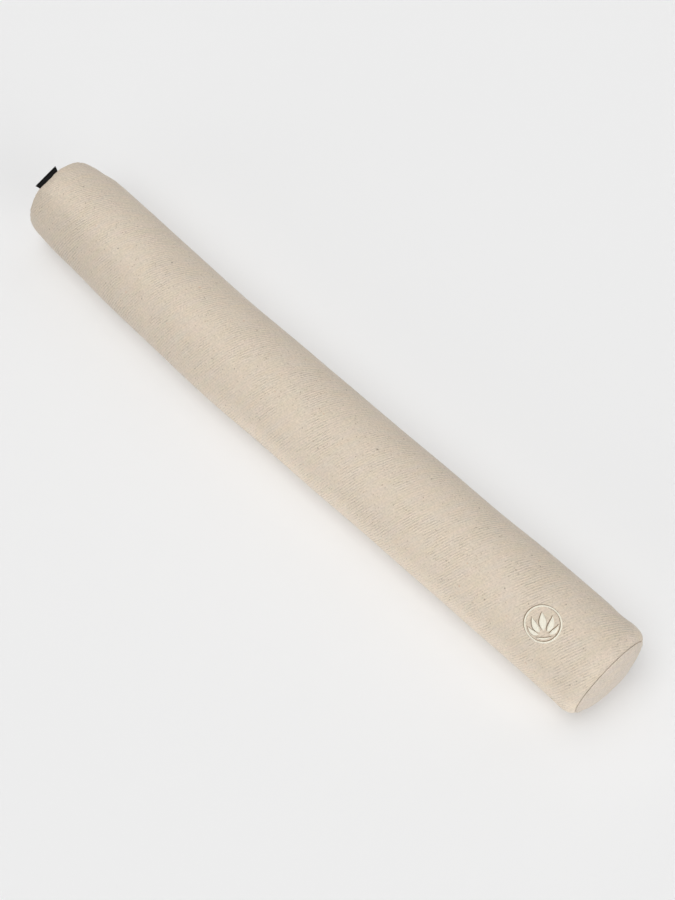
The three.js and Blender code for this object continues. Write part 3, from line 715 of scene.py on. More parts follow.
def make_coil(name, s):
    """One side of a nylon coil: a flattened spiral whose loops reach between the other side's."""
    turns = int((COIL_X1 - COIL_X0) / PITCH) - 1
    ph = np.linspace(0, 2 * math.pi * turns, turns * 12 + 1)
    x = COIL_X0 + 0.6 + PITCH * (ph / (2 * math.pi) + (0.5 if s > 0 else 0))
    t = s * (1.25 - 1.70 * np.cos(ph))
    n = 51.87 + 0.72 * np.sin(ph)
    return tube(name, zip_place(x, t, n), 0.27, sides=6, up=(1, 0, 0))


tape_upper, tape_lower = make_tape("zip_tape_woven_upper", -1), make_tape("zip_tape_woven_lower", 1)
coil_upper, coil_lower = make_coil("zip_coil_loops_upper", -1), make_coil("zip_coil_loops_lower", 1)


def topstitch(name, s):
    x = np.arange(SLOT_X0 + 1.5, SLOT_X1 - 1, 3.15)
    p, dx, da, n = frame_at(lambda xx, aa: skin(xx, aa), x, s * (slot_half(x) + 2.8))
    return stitches(name, p + n * 0.12, dx, n, 2.6, 0.2, sag=0.25, seed=5 + s)


stitch_upper, stitch_lower = topstitch("zip_topstitching_upper", -1), topstitch("zip_topstitching_lower", 1)


def bar_tack(name, x0):
    """A short block of close stitches across the seam."""
    t = np.arange(-5.3, 5.31, 0.46)
    x = np.full(len(t), x0) + 0.06 * np.cos(np.arange(len(t)) * 2.4)
    r = 53.0 + 0.1 * np.cos(t)
    f = lambda xx, aa: place(xx, np.maximum(cover_radius(xx, 0.0, aa), cover_radius(xx, 0.0, aa, seam=False) - 0.35), ZIP + wrap(aa) / 53.0)
    p, dx, da, n = frame_at(f, x, t)
    return stitches(name, p + n * 0.2, dx, n, 1.9, 0.25, sag=0.22, seed=9)


tack_closed, tack_open = bar_tack("bar_tack_by_motif", SLOT_X1 + 3.5), bar_tack("bar_tack_by_label", SLOT_X0 - 3.5)


def end_stitches(name, end, r):
    k = 86
    th = np.linspace(0, 2 * math.pi, k, endpoint=False)
    p = place(end * 390.03, r, th, bend_x=end * 390.0)
    up = p - place(end * 390.03, 0.0, 0.0, bend_x=end * 390.0)
    up /= np.linalg.norm(up, axis=1, keepdims=True)
    along = np.cross(np.array([end * 1.0, 0, 0]), up)
    return stitches(name, p, along, up, 2.6, 0.2, seed=21 + end)


end_thread_motif, end_thread_label = end_stitches("end_seam_by_motif", 1, 43.0), end_stitches("end_seam_by_label", -1, 40.9)

# ------------------------------------------------------------------ labels
def make_woven_label():
    """A strip folded in two, its cut ends sewn into the seam; it leans out over the end."""
    u = catmull([(-389.95, 43.1), (-389.72, 44.6), (-389.75, 45.8), (-390.3, 47.2), (-391.1, 48.9), (-391.65, 49.95), (-391.95, 50.25),
                 (-392.35, 50.15), (-392.4, 49.7), (-391.95, 48.7), (-391.15, 47.0), (-390.65, 45.6), (-390.42, 44.6), (-390.45, 43.1)], 0.35)
    m = 64
    w = np.linspace(-14.6, 14.6, m)
    a0 = math.radians(-15.5)
    X = u[:, :1] + 0 * w[None]
    R = u[:, 1:] + 0 * w[None]
    up = np.clip((R - 46.0) / 5.5, 0, 1)
    X = X - up * 0.25 * np.cos(w / 5.2)[None]
    R = R + up * 0.15 * np.sin(w / 7.5 + 0.8)[None]
    P = place(X, R, a0 + w[None] / 48.5, bend_x=-390.0)
    # the stiff fold stays straight although the seam it comes out of is round
    v = (w[None, :, None] + 14.6) / 29.2
    chord = P[:, :1] * (1 - v) + P[:, -1:] * v
    straight = 0.85 * smoothstep(44.5, 49.5, R)[..., None]
    P = P * (1 - straight) + chord * straight
    s = np.r_[0, np.cumsum(np.linalg.norm(np.diff(u, axis=0), axis=1))]
    o = thick_sheet("woven_label_folded", P, 0.26, np.stack(np.broadcast_arrays(s[:, None], w[None], 0 * X), -1))
    return fix_normals(o), s[-1]


def make_care_label():
    n, m = 40, 18
    x = np.linspace(-205, -171, n)[:, None]
    t = np.linspace(-0.5, 13.5, m)[None]
    h = 48.92 + 0.12 * np.sin(x / 4.0) * np.sin(t / 3.2) + 0 * t
    P = zip_place(x, t + 0 * x, h)
    return fix_normals(thick_sheet("care_label_satin", P, 0.22, np.stack(np.broadcast_arrays(x, t, 0 * h), -1)))


woven_label, label_cut = make_woven_label()
care_label = make_care_label()

# ------------------------------------------------------------------ embroidery: a ring round a plain lotus, in satin stitch
MOTIF_R = 18.25
TURN = math.radians(44.6)
PETALS = [((0, -6.0), (0, 2), (0, 11.6), 3.6), ((3.2, -7.0), (8.6, -3.2), (9.8, 7.6), 3.0), ((-3.2, -7.0), (-8.6, -3.2), (-9.8, 7.6), 3.0),
          ((5.0, -9.3), (11.6, -8.7), (14.9, -1.2), 2.1), ((-5.0, -9.3), (-11.6, -8.7), (-14.9, -1.2), 2.1), ((-8, -11.9), (0, -15.4), (8, -11.9), 0.95)]


def on_motif(p, q, lift):
    """A place in the motif's own plane, p to its right and q up, laid on the cover."""
    u = p * math.cos(TURN) - q * math.sin(TURN)
    v = p * math.sin(TURN) + q * math.cos(TURN)
    return skin(MOTIF_X + u, MOTIF_ARC + v, lift)


def satin_band(line, normal, half, per_mm, height, base, wobble, slant, seed, closed=False, shift=(0.0, 0.0)):
    """Threads laid side by side across a band. Returns verts, faces and thread coordinates."""
    g = np.random.default_rng(seed)
    n = len(line)
    c = np.linspace(-1, 1, 13)
    seg = np.linalg.norm(np.diff(line, axis=0), axis=1)
    s = np.r_[0, np.cumsum(seg)]
    count = s[-1] * per_mm
    if closed:
        count = round((s[-1] + seg[-1]) * per_mm)
        ph = np.arange(n) / n * count
    else:
        ph = s * per_mm
    idx = np.floor(ph).astype(int)
    jit = g.normal(0, wobble, (int(count) + 4, 2))
    rnd = g.uniform(-1, 1, int(count) + 4)
    H = half[:, None] * (1 + 0 * c[None])
    edge = np.where(c[None] > 0, jit[idx][:, :1], jit[idx][:, 1:]) * (np.abs(c)[None] > 0.55)
    off = c[None] * (H + edge)
    ridge = 0.5 + 0.5 * np.cos(2 * math.pi * (ph[:, None] + slant * c[None]))
    dome = np.sqrt(np.clip(1 - np.abs(c[None]) ** 2.6, 0, 1))
    lift = base + height * dome * (0.80 + 0.05 * rnd[idx][:, None]) * np.clip(H / 1.0, 0.35, 1) + height * 0.20 * ridge * dome
    lift = np.where(np.abs(c)[None] > 0.999, 0.0, lift)
    p = line[:, None, 0] + normal[:, None, 0] * off + shift[0]
    q = line[:, None, 1] + normal[:, None, 1] * off + shift[1]
    top = on_motif(p, q, lift)
    low = on_motif(line[:, 0] + shift[0], line[:, 1] + shift[1], np.full(n, -0.06))[:, None]
    V = np.concatenate([top, low], 1)
    m = V.shape[1]
    co = np.stack(np.broadcast_arrays(ph[:, None] / per_mm, off, 0 * off), -1)
    co = np.concatenate([co, co[:, 6:7]], 1)
    # round the section, so the band is a closed piece
    if closed:
        faces = []
        for i in range(n):
            for j in range(m):
                faces.append((i * m + j, i * m + (j + 1) % m, ((i + 1) % n) * m + (j + 1) % m, ((i + 1) % n) * m + j))
    else:
        faces = [tuple(f) for f in grid_faces(n, m, closed=True)] + [tuple(range(m)), tuple((n - 1) * m + j for j in reversed(range(m)))]
    return V.reshape(-1, 3), faces, co.reshape(-1, 3)


def petal_line(b, c, e, w, n):
    t = np.linspace(0.012, 0.988, n)[:, None]
    b, c, e = (np.array(k, float)[None] for k in (b, c, e))
    line = (1 - t) ** 2 * b + 2 * t * (1 - t) * c + t * t * e
    d = (1 - t) * (c - b) + t * (e - c)
    d /= np.linalg.norm(d, axis=1, keepdims=True)
    return line, np.stack([-d[:, 1], d[:, 0]], -1), w * np.sin(math.pi * t[:, 0] ** 0.85)


def join(name, parts):
    verts, faces, cos, k = [], [], [], 0
    for v, f, c in parts:
        verts.append(v); cos.append(c)
        faces += [tuple(i + k for i in face) for face in f]
        k += len(v)
    o = new_object(name, np.vstack(verts), faces)
    add_vector(o, "thread_co", np.vstack(cos) * MM)
    return fix_normals(o)


def make_motif():
    satin, under = [], []
    th = np.linspace(0, 2 * math.pi, 1320, endpoint=False)
    rc = MOTIF_R - 0.85
    ring = np.stack([rc * np.cos(th), rc * np.sin(th)], -1)
    rn = np.stack([np.cos(th), np.sin(th)], -1)
    satin.append(satin_band(ring, rn, np.full(len(th), 0.85), 2.9, 0.68, 0.10, 0.05, 0.35, 1, closed=True))
    # the tan thread under the cream is laid wider and shifted half a millimetre to one side, so it shows beside the
    # raised strokes as a painted shadow
    painted_shadow_shift = (-0.50 * math.cos(TURN), 0.50 * math.sin(TURN))
    thc = th[::4]
    under.append(satin_band(ring[::4], rn[::4], np.full(len(thc), 1.12), 1.2, 0.10, 0.05, 0.04, 0.2, 2, closed=True, shift=painted_shadow_shift))
    for i, (b, c, e, w) in enumerate(PETALS):
        n = int(np.linalg.norm(np.subtract(e, b)) * 1.12 * 2.9 * 4)
        line, nrm, half = petal_line(b, c, e, w, n)
        satin.append(satin_band(line, nrm, np.maximum(half, 0.10), 2.9, 0.72, 0.10, 0.05, 0.9, 10 + i))
        line, nrm, half = petal_line(b, c, e, w, n // 4)
        under.append(satin_band(line, nrm, half + 0.27, 1.2, 0.10, 0.05, 0.04, 0.2, 30 + i, shift=painted_shadow_shift))
    return join("embroidery_satin", satin), join("embroidery_painted_shadow_outline", under)


motif, motif_painted_shadow = make_motif()


def make_backing():
    """A round piece of soft nonwoven behind the embroidery, its edge trimmed by hand."""
    n, m = 14, 72
    th = np.linspace(0, 2 * math.pi, m, endpoint=False)
    rr = np.linspace(0.04, 1, n)[:, None] * (22 + 0.35 * np.cos(5 * th + 1) + 0.25 * np.cos(11 * th))[None]
    f = lambda p, q, d: inside(MOTIF_X + p, MOTIF_ARC + q, d)
    P, Q = f(rr * np.cos(th), rr * np.sin(th), 1.05), f(rr * np.cos(th), rr * np.sin(th), 1.3)
    faces = [tuple(k) for k in grid_faces(n, m, closed=True)] + [tuple(n * m + i for i in k) for k in grid_faces(n, m, closed=True, flip=True)]
    faces += [tuple(range(m)), tuple(n * m + j for j in reversed(range(m)))]
    last = (n - 1) * m
    faces += [(last + j, n * m + last + j, n * m + last + (j + 1) % m, last + (j + 1) % m) for j in range(m)]
    o = new_object("embroidery_backing_cloth", np.vstack([P.reshape(-1, 3), Q.reshape(-1, 3)]), faces)
    co = np.stack([rr * np.cos(th), rr * np.sin(th), 0 * rr], -1).reshape(-1, 3) * MM
    add_vector(o, "weave_co", np.vstack([co, co]))
    return fix_normals(o)


backing = make_backing()

# ------------------------------------------------------------------ materials
def lin(c):
    """sRGB 0-255 to linear."""
    out = []
    for v in c:
        v /= 255
        out.append(v / 12.92 if v <= 0.04045 else ((v + 0.055) / 1.055) ** 2.4)
    return (*out, 1.0)


def new_material(name):
    m = bpy.data.materials.new(name)
    m.use_nodes = True
    nt = m.node_tree
    return m, nt, nt.nodes["Principled BSDF"]


class Tree:
    """Short calls for building a node tree."""

    def __init__(self, nt):
        self.nt = nt

    def put(self, socket, value):
        if isinstance(value, bpy.types.NodeSocket):
            self.nt.links.new(value, socket)
        elif value is not None:
            socket.default_value = value

    def math(self, op, a, b=None, c=None, clamp=False):
        n = self.nt.nodes.new("ShaderNodeMath")
        n.operation = op
        n.use_clamp = clamp
        for i, v in enumerate((a, b, c)):
            self.put(n.inputs[i], v)
        return n.outputs[0]

    def vmath(self, op, a, b=None, scale=None):
        n = self.nt.nodes.new("ShaderNodeVectorMath")
        n.operation = op
        self.put(n.inputs[0], a)
        self.put(n.inputs[1], b)
        if scale is not None:
            self.put(n.inputs["Scale"], scale)
        return n.outputs[0]

    def attr(self, name, out="Vector"):
        n = self.nt.nodes.new("ShaderNodeAttribute")
        n.attribute_name = name
        return n.outputs[out]

    def objco(self):
        return self.nt.nodes.new("ShaderNodeTexCoord").outputs["Object"]

    def sep(self, v):
        n = self.nt.nodes.new("ShaderNodeSeparateXYZ")
        self.put(n.inputs[0], v)
        return n.outputs

    def comb(self, x, y, z=0.0):
        n = self.nt.nodes.new("ShaderNodeCombineXYZ")
        for i, v in enumerate((x, y, z)):
            self.put(n.inputs[i], v)
        return n.outputs[0]

    def noise(self, v, scale, detail=2.0, rough=0.5, out="Fac"):
        n = self.nt.nodes.new("ShaderNodeTexNoise")
        self.put(n.inputs["Vector"], v)
        n.inputs["Scale"].default_value = scale
        n.inputs["Detail"].default_value = detail
        n.inputs["Roughness"].default_value = rough
        return n.outputs[out]

    def voronoi(self, v, scale, out="Distance", feature="F1", randomness=1.0):
        n = self.nt.nodes.new("ShaderNodeTexVoronoi")
        n.feature = feature
        self.put(n.inputs["Vector"], v)
        n.inputs["Scale"].default_value = scale
        n.inputs["Randomness"].default_value = randomness
        return n.outputs[out]

    def white(self, v):
        n = self.nt.nodes.new("ShaderNodeTexWhiteNoise")
        n.noise_dimensions = "3D"
        self.put(n.inputs["Vector"], v)
        return n.outputs["Value"]

    def range(self, v, a, b, c=0.0, d=1.0, smooth=False):
        n = self.nt.nodes.new("ShaderNodeMapRange")
        n.interpolation_type = "SMOOTHSTEP" if smooth else "LINEAR"
        self.put(n.inputs["Value"], v)
        for k, w in zip(("From Min", "From Max", "To Min", "To Max"), (a, b, c, d)):
            self.put(n.inputs[k], w)
        return n.outputs[0]

    def mix(self, fac, a, b, blend="MIX"):
        n = self.nt.nodes.new("ShaderNodeMix")
        n.data_type = "RGBA"
        n.blend_type = blend
        self.put(n.inputs[0], fac)
        self.put(n.inputs[6], a)
        self.put(n.inputs[7], b)
        return n.outputs[2]

    def bump(self, height, distance, strength=1.0, normal=None):
        n = self.nt.nodes.new("ShaderNodeBump")
        self.put(n.inputs["Height"], height)
        n.inputs["Distance"].default_value = distance
        n.inputs["Strength"].default_value = strength
        if normal is not None:
            self.put(n.inputs["Normal"], normal)
        return n.outputs[0]


RIB_TONE = 0.14                  # how far the ribs stand out in tone


def canvas_material(name, base, ribs=1.0, fleck=1.0, tilt=-22.0):
    """Undyed cotton twill: fine slanting ribs, uneven yarns, and scattered brown and tan flecks of seed husk."""
    m, nt, bsdf = new_material(name)
    t = Tree(nt)
    co = t.attr("weave_co")
    x, y, _ = t.sep(co)
    wander = t.math("MULTIPLY", t.math("SUBTRACT", t.noise(co, 60, 2, 0.5), 0.5), 0.0016)
    a = math.radians(tilt)
    across = t.math("ADD", t.math("MULTIPLY", x, math.cos(a)), t.math("MULTIPLY", y, math.sin(a)))
    along = t.math("SUBTRACT", t.math("MULTIPLY", y, math.cos(a)), t.math("MULTIPLY", x, math.sin(a)))
    phase = t.math("MULTIPLY", t.math("ADD", across, wander), 2 * math.pi / 0.0025)
    rib = t.math("SINE", phase)
    cross = t.math("SINE", t.math("MULTIPLY_ADD", along, 2 * math.pi / 0.0015, t.math("MULTIPLY", phase, 0.5)))
    weave = t.math("MULTIPLY", rib, t.math("MULTIPLY_ADD", cross, 0.3, 0.8))
    patch = t.noise(co, 26, 3, 0.6)
    patch_w = t.math("MULTIPLY", t.range(patch, 0.42, 0.60, 0.22, 1.0, smooth=True), ribs)
    weave = t.math("MULTIPLY", weave, patch_w)
    # the ribs come and go along their length
    weave = t.math("MULTIPLY", weave, t.range(t.noise(t.vmath("MULTIPLY", t.comb(across, along, 0.0), (420.0, 130.0, 1.0)), 1.0, 1, 0.5), 0.38, 0.62, 0.35, 1.5))
    tone = t.noise(co, 9, 3, 0.55)
    grain = t.math("SUBTRACT", t.noise(co, 430, 3, 0.7), 0.5)
    fine = t.noise(co, 1300, 2, 0.6)
    yarn = t.math("SUBTRACT", t.noise(t.vmath("MULTIPLY", co, (620.0, 90.0, 1.0)), 1.0, 2, 0.6), 0.5)
    yarn2 = t.math("SUBTRACT", t.noise(t.vmath("MULTIPLY", co, (90.0, 620.0, 1.0)), 1.0, 2, 0.6), 0.5)
    # colour: every unevenness is lighter as often as it is darker, so the cloth keeps one tone from afar
    level = t.math("MULTIPLY_ADD", weave, RIB_TONE, 1.0)
    level = t.math("MULTIPLY_ADD", grain, 0.66, level)
    level = t.math("MULTIPLY_ADD", yarn, 0.12, level)
    level = t.math("MULTIPLY_ADD", yarn2, 0.12, level)
    level = t.math("MULTIPLY_ADD", t.math("SUBTRACT", tone, 0.5), 0.09, level)
    # painted light and shade: the cover's colour is made paler or darker where its attribute says
    level = t.math("MULTIPLY", level, t.math("ADD", t.attr("painted_light_and_shade", "Fac"), 1.0))
    col = t.vmath("SCALE", base, None, level)
    # a faint drift towards pink and towards cream, along the ribs
    drift = t.vmath("MULTIPLY", t.comb(across, along, 0.0), (150.0, 45.0, 1.0))
    red = t.math("SUBTRACT", t.noise(drift, 1.0, 2, 0.5), 0.5)
    blue = t.math("SUBTRACT", t.noise(t.vmath("ADD", drift, (7.0, 3.0, 5.0)), 0.8, 2, 0.5), 0.5)
    col = t.vmath("MULTIPLY", col, t.comb(t.math("MULTIPLY_ADD", red, 0.10, 1.0), 1.0, t.math("MULTIPLY_ADD", blue, 0.13, 1.0)))
    # flecks: small, irregular, in two colours, with a few larger ones
    warp = t.vmath("SCALE", t.noise(co, 900, 2, 0.6, out="Color"), None, 0.0009)
    fco = t.vmath("ADD", co, warp)
    for scale, size, share, colour, strength in ((230, 0.10, 0.16, (124, 102, 82), 0.60), (420, 0.17, 0.22, (150, 128, 104), 0.42), (130, 0.07, 0.08, (104, 86, 72), 0.62), (150, 0.12, 0.04, (206, 160, 130), 0.35)):
        d = t.voronoi(fco, scale)
        cell = t.sep(t.voronoi(fco, scale, out="Color"))
        pick = t.range(cell[0], 1 - share, 1 - share + 0.01)
        vary = t.math("MULTIPLY_ADD", cell[1], 0.9, 0.4)
        spot = t.range(d, t.math("MULTIPLY", vary, size), t.math("MULTIPLY", vary, size * 1.8), 1.0, 0.0, smooth=True)
        col = t.mix(t.math("MULTIPLY", t.math("MULTIPLY", spot, pick), strength * fleck), col, lin(colour))
    nt.links.new(col, bsdf.inputs["Base Color"])
    nt.links.new(t.range(fine, 0.3, 0.7, 0.84, 0.98), bsdf.inputs["Roughness"])
    bsdf.inputs["Specular IOR Level"].default_value = 0.15
    bsdf.inputs["Sheen Weight"].default_value = 0.30
    bsdf.inputs["Sheen Roughness"].default_value = 0.5
    bsdf.inputs["Sheen Tint"].default_value = (1.0, 0.96, 0.90, 1)
    h = t.math("MULTIPLY", weave, 0.30)
    h = t.math("ADD", h, t.math("MULTIPLY", yarn, 0.25))
    h = t.math("ADD", h, t.math("MULTIPLY", grain, 0.55))
    h = t.math("ADD", h, t.math("MULTIPLY", fine, 0.25))
    nt.links.new(t.bump(h, 0.00055), bsdf.inputs["Normal"])
    return m


def plain_weave(name, base, dark, pitch, depth, rough=0.9, sheen=0.15, attr="weave_co", herring=0.0, spec=0.2):
    """Over-and-under weave at the given pitch, in metres; herring turns it into the zip tape's chevrons."""
    m, nt, bsdf = new_material(name)
    t = Tree(nt)
    co = t.attr(attr)
    x, y, _ = t.sep(co)
    if herring:
        zig = t.math("MULTIPLY", t.math("PINGPONG", y, herring), 1.0)
        w = t.math("MULTIPLY_ADD", t.math("SINE", t.math("MULTIPLY", t.math("ADD", x, zig), 2 * math.pi / pitch)), 0.5, 0.5)
    else:
        sx = t.math("SINE", t.math("MULTIPLY", x, 2 * math.pi / pitch))
        sy = t.math("SINE", t.math("MULTIPLY", y, 2 * math.pi / pitch))
        w = t.math("MULTIPLY_ADD", t.math("MULTIPLY", sx, sy), 0.5, 0.5)
    n = t.noise(co, 0.35 / pitch, 3, 0.6)
    big = t.noise(co, 18, 2, 0.5)
    col = t.mix(t.math("MULTIPLY", t.math("SUBTRACT", 1.0, w), 0.45), base, dark)
    col = t.mix(t.math("MULTIPLY", t.range(n, 0.4, 0.75), 0.35), col, dark)
    col = t.mix(t.math("MULTIPLY", t.range(big, 0.4, 0.7), 0.12), col, dark)
    nt.links.new(col, bsdf.inputs["Base Color"])
    nt.links.new(t.range(n, 0.3, 0.7, rough - 0.08, min(1.0, rough + 0.05)), bsdf.inputs["Roughness"])
    bsdf.inputs["Specular IOR Level"].default_value = spec
    bsdf.inputs["Sheen Weight"].default_value = sheen
    nt.links.new(t.bump(t.math("ADD", w, t.math("MULTIPLY", n, 0.5)), depth), bsdf.inputs["Normal"])
    return m


def satin_thread(name, base, dark, rough=0.5, spec=0.35, sheen=0.25):
    """Lustrous thread: fine lines along the thread and a soft change from stitch to stitch."""
    m, nt, bsdf = new_material(name)
    t = Tree(nt)
    co = t.attr("thread_co")
    x, y, _ = t.sep(co)
    line = t.math("MULTIPLY_ADD", t.math("SINE", t.math("MULTIPLY", x, 2 * math.pi * 2900)), 0.5, 0.5)
    n = t.noise(t.vmath("MULTIPLY", co, (2500.0, 500.0, 1.0)), 1.0, 2, 0.5)
    col = t.mix(t.math("MULTIPLY", t.math("SUBTRACT", 1.0, line), 0.28), base, dark)
    col = t.mix(t.math("MULTIPLY", t.range(n, 0.35, 0.7), 0.30), col, dark)
    nt.links.new(col, bsdf.inputs["Base Color"])
    nt.links.new(t.range(n, 0.3, 0.7, rough - 0.08, rough + 0.12), bsdf.inputs["Roughness"])
    bsdf.inputs["Specular IOR Level"].default_value = spec
    bsdf.inputs["Sheen Weight"].default_value = sheen
    nt.links.new(t.bump(t.math("ADD", line, n), 0.00006), bsdf.inputs["Normal"])
    return m


def cord_thread(name, base, dark):
    """Twisted sewing thread, by its place in the object."""
    m, nt, bsdf = new_material(name)
    t = Tree(nt)
    co = t.objco()
    n = t.noise(co, 2600, 2, 0.6)
    x, y, z = t.sep(co)
    tw = t.math("MULTIPLY_ADD", t.math("SINE", t.math("MULTIPLY", t.math("ADD", x, t.math("ADD", y, z)), 2 * math.pi / 0.0006)), 0.5, 0.5)
    col = t.mix(t.math("MULTIPLY", tw, 0.35), base, dark)
    col = t.mix(t.math("MULTIPLY", t.range(n, 0.4, 0.7), 0.3), col, dark)
    nt.links.new(col, bsdf.inputs["Base Color"])
    nt.links.new(t.range(n, 0.3, 0.7, 0.62, 0.85), bsdf.inputs["Roughness"])
    bsdf.inputs["Specular IOR Level"].default_value = 0.25
    nt.links.new(t.bump(t.math("ADD", tw, n), 0.00005), bsdf.inputs["Normal"])
    return m


def nylon(name, base, dark):
    m, nt, bsdf = new_material(name)
    t = Tree(nt)
    co = t.objco()
    n = t.noise(co, 350, 2, 0.5)
    col = t.mix(t.math("MULTIPLY", t.range(n, 0.35, 0.7), 0.35), base, dark)
    nt.links.new(col, bsdf.inputs["Base Color"])
    nt.links.new(t.range(n, 0.3, 0.7, 0.28, 0.42), bsdf.inputs["Roughness"])
    bsdf.inputs["Specular IOR Level"].default_value = 0.5
    nt.links.new(t.bump(n, 0.00003), bsdf.inputs["Normal"])
    return m


def cast_metal(name, base, worn):
    """Plated zinc: a dull film with brighter rubbed edges and fine scratches."""
    m, nt, bsdf = new_material(name)
    t = Tree(nt)
    co = t.objco()
    n = t.noise(co, 240, 3, 0.6)
    scratch = t.noise(t.vmath("MULTIPLY", co, (120.0, 2400.0, 2400.0)), 1.0, 2, 0.6)
    geo = nt.nodes.new("ShaderNodeNewGeometry")
    edge = t.range(geo.outputs["Pointiness"], 0.50, 0.58)
    col = t.mix(t.math("MULTIPLY", t.range(n, 0.35, 0.7), 0.5), base, worn)
    col = t.mix(t.math("MULTIPLY", edge, 0.6), col, worn)
    nt.links.new(col, bsdf.inputs["Base Color"])
    bsdf.inputs["Metallic"].default_value = 1.0
    rough = t.math("ADD", t.range(n, 0.3, 0.7, 0.26, 0.40), t.math("MULTIPLY", t.range(scratch, 0.5, 0.75), 0.12))
    nt.links.new(rough, bsdf.inputs["Roughness"])
    nt.links.new(t.bump(t.math("ADD", n, t.math("MULTIPLY", scratch, 0.5)), 0.00002), bsdf.inputs["Normal"])
    return m


def hull_material(name):
    """Buckwheat hulls: dark brown to almost black, each flake with its own tone."""
    m, nt, bsdf = new_material(name)
    t = Tree(nt)
    co = t.attr("weave_co")
    cell = t.sep(t.voronoi(co, 195, out="Color"))
    n = t.noise(co, 900, 3, 0.6)
    col = t.mix(cell[0], lin((58, 42, 33)), lin((104, 76, 56)))
    col = t.mix(t.math("MULTIPLY", t.range(n, 0.4, 0.7), 0.5), col, lin((34, 26, 22)))
    nt.links.new(col, bsdf.inputs["Base Color"])
    nt.links.new(t.range(n, 0.3, 0.7, 0.45, 0.7), bsdf.inputs["Roughness"])
    bsdf.inputs["Specular IOR Level"].default_value = 0.4
    nt.links.new(t.bump(n, 0.0002), bsdf.inputs["Normal"])
    return m


CANVAS = canvas_material("canvas_twill", lin((220, 206, 188))[:3])
PANEL_CANVAS = canvas_material("canvas_twill_panel", lin((220, 207, 192))[:3], ribs=0.45, fleck=0.5, tilt=64.0)
CALICO = plain_weave("calico", lin((233, 226, 210)), lin((198, 186, 162)), 0.0007, 0.00012)
BACKING = plain_weave("backing_nonwoven", lin((238, 238, 236)), lin((214, 214, 212)), 0.0012, 0.0001)
TAPE = plain_weave("zip_tape_twill", lin((236, 226, 206)), lin((198, 184, 158)), 0.0011, 0.00014, herring=0.0026, sheen=0.2)
BLACK = plain_weave("black_satin_weave", lin((14, 14, 15)), lin((30, 29, 30)), 0.00034, 0.00005, rough=0.7, sheen=0.0, spec=0.12)
WHITE = plain_weave("white_satin_weave", lin((240, 239, 236)), lin((214, 212, 208)), 0.00034, 0.00005, rough=0.5, sheen=0.3, spec=0.45)
SATIN = satin_thread("embroidery_cream", lin((255, 252, 238)), lin((238, 226, 200)), rough=0.45, spec=0.5)
# tan thread that stands in as painted shadow beside the cream embroidery
PAINTED_SHADOW_THREAD = satin_thread("embroidery_tan_painted_shadow", lin((142, 114, 80)), lin((114, 90, 62)), rough=0.7, spec=0.2)
THREAD = cord_thread("sewing_thread_cream", lin((228, 216, 194)), lin((186, 170, 142)))
COIL = nylon("zip_coil_nylon", lin((242, 233, 212)), lin((212, 198, 170)))
METAL = cast_metal("zip_metal_plated", lin((142, 128, 104)), lin((196, 182, 156)))
HULLS = hull_material("buckwheat_hulls")

for o, node, sl, mat, fill in (
        (cover, "cover_body", "canvas", CANVAS, 0.95), (panel_motif, "end_panel_motif_side", "canvas", PANEL_CANVAS, 0.95),
        (panel_label, "end_panel_label_side", "canvas", PANEL_CANVAS, 0.95), (bag, "inner_bag_body", "calico", CALICO, 0.95),
        (bag_end_motif, "inner_bag_end_motif_side", "calico", CALICO, 0.9), (bag_end_label, "inner_bag_end_label_side", "calico", CALICO, 0.9),
        (bag_seam, "inner_bag_seam_thread", "seam_thread", THREAD, None), (hulls, "hull_filling", "hulls", HULLS, 0.95),
        (tape_upper, "zip_tape_upper", "zip_tape", TAPE, None), (tape_lower, "zip_tape_lower", "zip_tape", TAPE, None),
        (coil_upper, "zip_coil_upper", "zip_coil", COIL, None), (coil_lower, "zip_coil_lower", "zip_coil", COIL, None),
        (stitch_upper, "zip_topstitch_upper", "seam_thread", THREAD, None), (stitch_lower, "zip_topstitch_lower", "seam_thread", THREAD, None),
        (tack_closed, "zip_bar_tack_closed_end", "seam_thread", THREAD, None), (tack_open, "zip_bar_tack_open_end", "seam_thread", THREAD, None),
        (end_thread_motif, "end_seam_thread_motif_side", "seam_thread", THREAD, None), (end_thread_label, "end_seam_thread_label_side", "seam_thread", THREAD, None),
        (woven_label, "woven_label", "black_satin", BLACK, None), (care_label, "care_label", "white_satin", WHITE, None),
        (motif, "embroidered_motif", "embroidery_thread", SATIN, None), (motif_painted_shadow, "embroidered_motif", "embroidery_thread", PAINTED_SHADOW_THREAD, None),
        (backing, "embroidery_backing", "backing", BACKING, None)):
    o.data.materials.clear()
    o.data.materials.append(mat)
    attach(o, "pillow")
    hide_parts(node)

# the zip's metal keeps its CAD shape, with its edges rounded over
for node, width in (("zip_top_stop_upper", 0.3), ("zip_top_stop_lower", 0.3), ("zip_bottom_stop", 0.4), ("zip_slider", 0.28), ("zip_pull_tab", 0.25)):
    o = NODES[node]
    o.data.materials.clear()
    o.data.materials.append(METAL)
    mod = o.modifiers.new("rounded", "BEVEL")
    mod.width = width * MM
    mod.segments = 3
    mod.limit_method = "ANGLE"
    mod.angle_limit = math.radians(35)

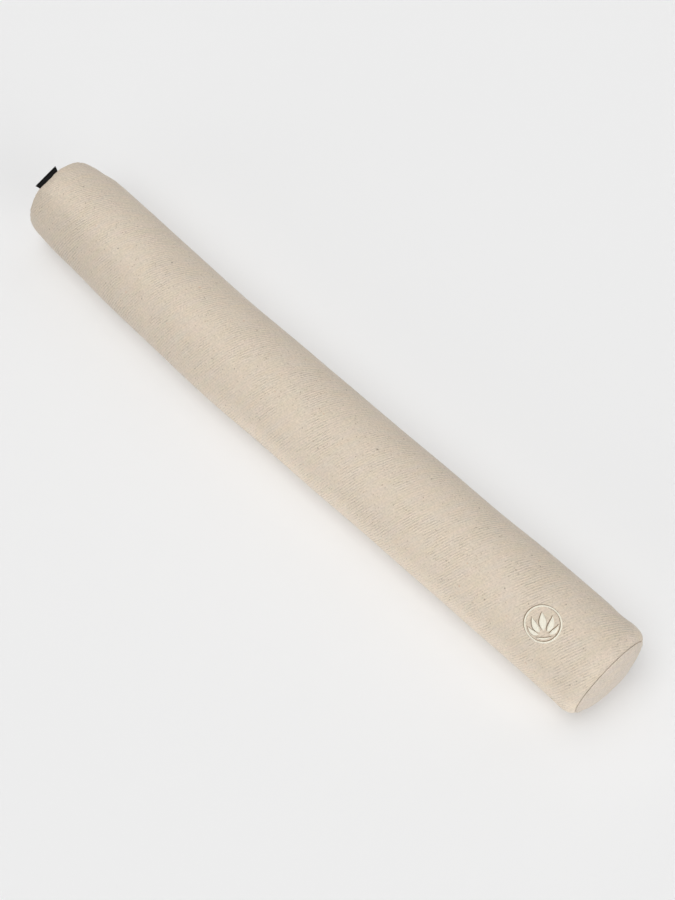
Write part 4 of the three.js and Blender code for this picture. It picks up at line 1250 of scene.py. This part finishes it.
# ------------------------------------------------------------------ floor and light
FLOOR_GLOW = 0.172                # a back-lit table: shadows on it stay pale
me = bpy.data.meshes.new("floor")
bm = bmesh.new()
bmesh.ops.create_grid(bm, x_segments=4, y_segments=4, size=9)
bm.to_mesh(me)
bm.free()
floor = bpy.data.objects.new("floor", me)
scene.collection.objects.link(floor)
fm, fnt, fb = new_material("floor_paper")
fb.inputs["Base Color"].default_value = (0.72, 0.72, 0.72, 1)
fb.inputs["Emission Color"].default_value = (1, 1, 1, 1)
fb.inputs["Emission Strength"].default_value = FLOOR_GLOW
fb.inputs["Roughness"].default_value = 0.95
fb.inputs["Specular IOR Level"].default_value = 0.0
me.materials.append(fm)

world = bpy.data.worlds.new("world")
scene.world = world
world.use_nodes = True
WORLD = 0.0
world.node_tree.nodes["Background"].inputs[0].default_value = (1, 1, 1, 1)
world.node_tree.nodes["Background"].inputs[1].default_value = WORLD


def sun(name, az, el, angle, strength):
    """A wide, even light from a compass direction: azimuth as the camera's, elevation above the floor."""
    a, e = math.radians(az), math.radians(el)
    d = Vector((math.sin(a) * math.cos(e), -math.cos(a) * math.cos(e), math.sin(e)))
    l = bpy.data.lights.new(name, "SUN")
    l.energy = strength
    l.angle = math.radians(angle)
    o = bpy.data.objects.new(name, l)
    o.rotation_mode = "QUATERNION"
    o.rotation_quaternion = (-d).to_track_quat("-Z", "Y")
    o.location = d * 3
    scene.collection.objects.link(o)


def panel_light(name, where, aim, size, strength):
    l = bpy.data.lights.new(name, "AREA")
    l.shape = "SQUARE"
    l.size = size
    l.energy = strength
    o = bpy.data.objects.new(name, l)
    w, a = Vector(where), Vector(aim)
    o.location = w
    o.rotation_mode = "QUATERNION"
    o.rotation_quaternion = (a - w).to_track_quat("-Z", "Y")
    scene.collection.objects.link(o)


SUNS = [("sky_front", 0, 70, 50, 1.338), ("sky_far", -90, 70, 50, 0.749), ("front_low", 0, 8, 50, 0.653), ("near_low", 90, 12, 50, 1.049),
        ("near_end", 90, 35, 50, 0.17), ("near_left", 45, 30, 50, 0.245), ("back", 180, 35, 50, 0.323), ("back_high", 180, 60, 50, 0.139),
        ("far_left", -45, 45, 50, 0.078), ("far_back", -135, 40, 50, 0.063)]
AREAS = []
for s in SUNS:
    if s[4] > 0:
        sun(*s)
for a in AREAS:
    if a[4] > 0:
        panel_light(*a)

scene.view_settings.view_transform = "Standard"
scene.view_settings.look = "None"
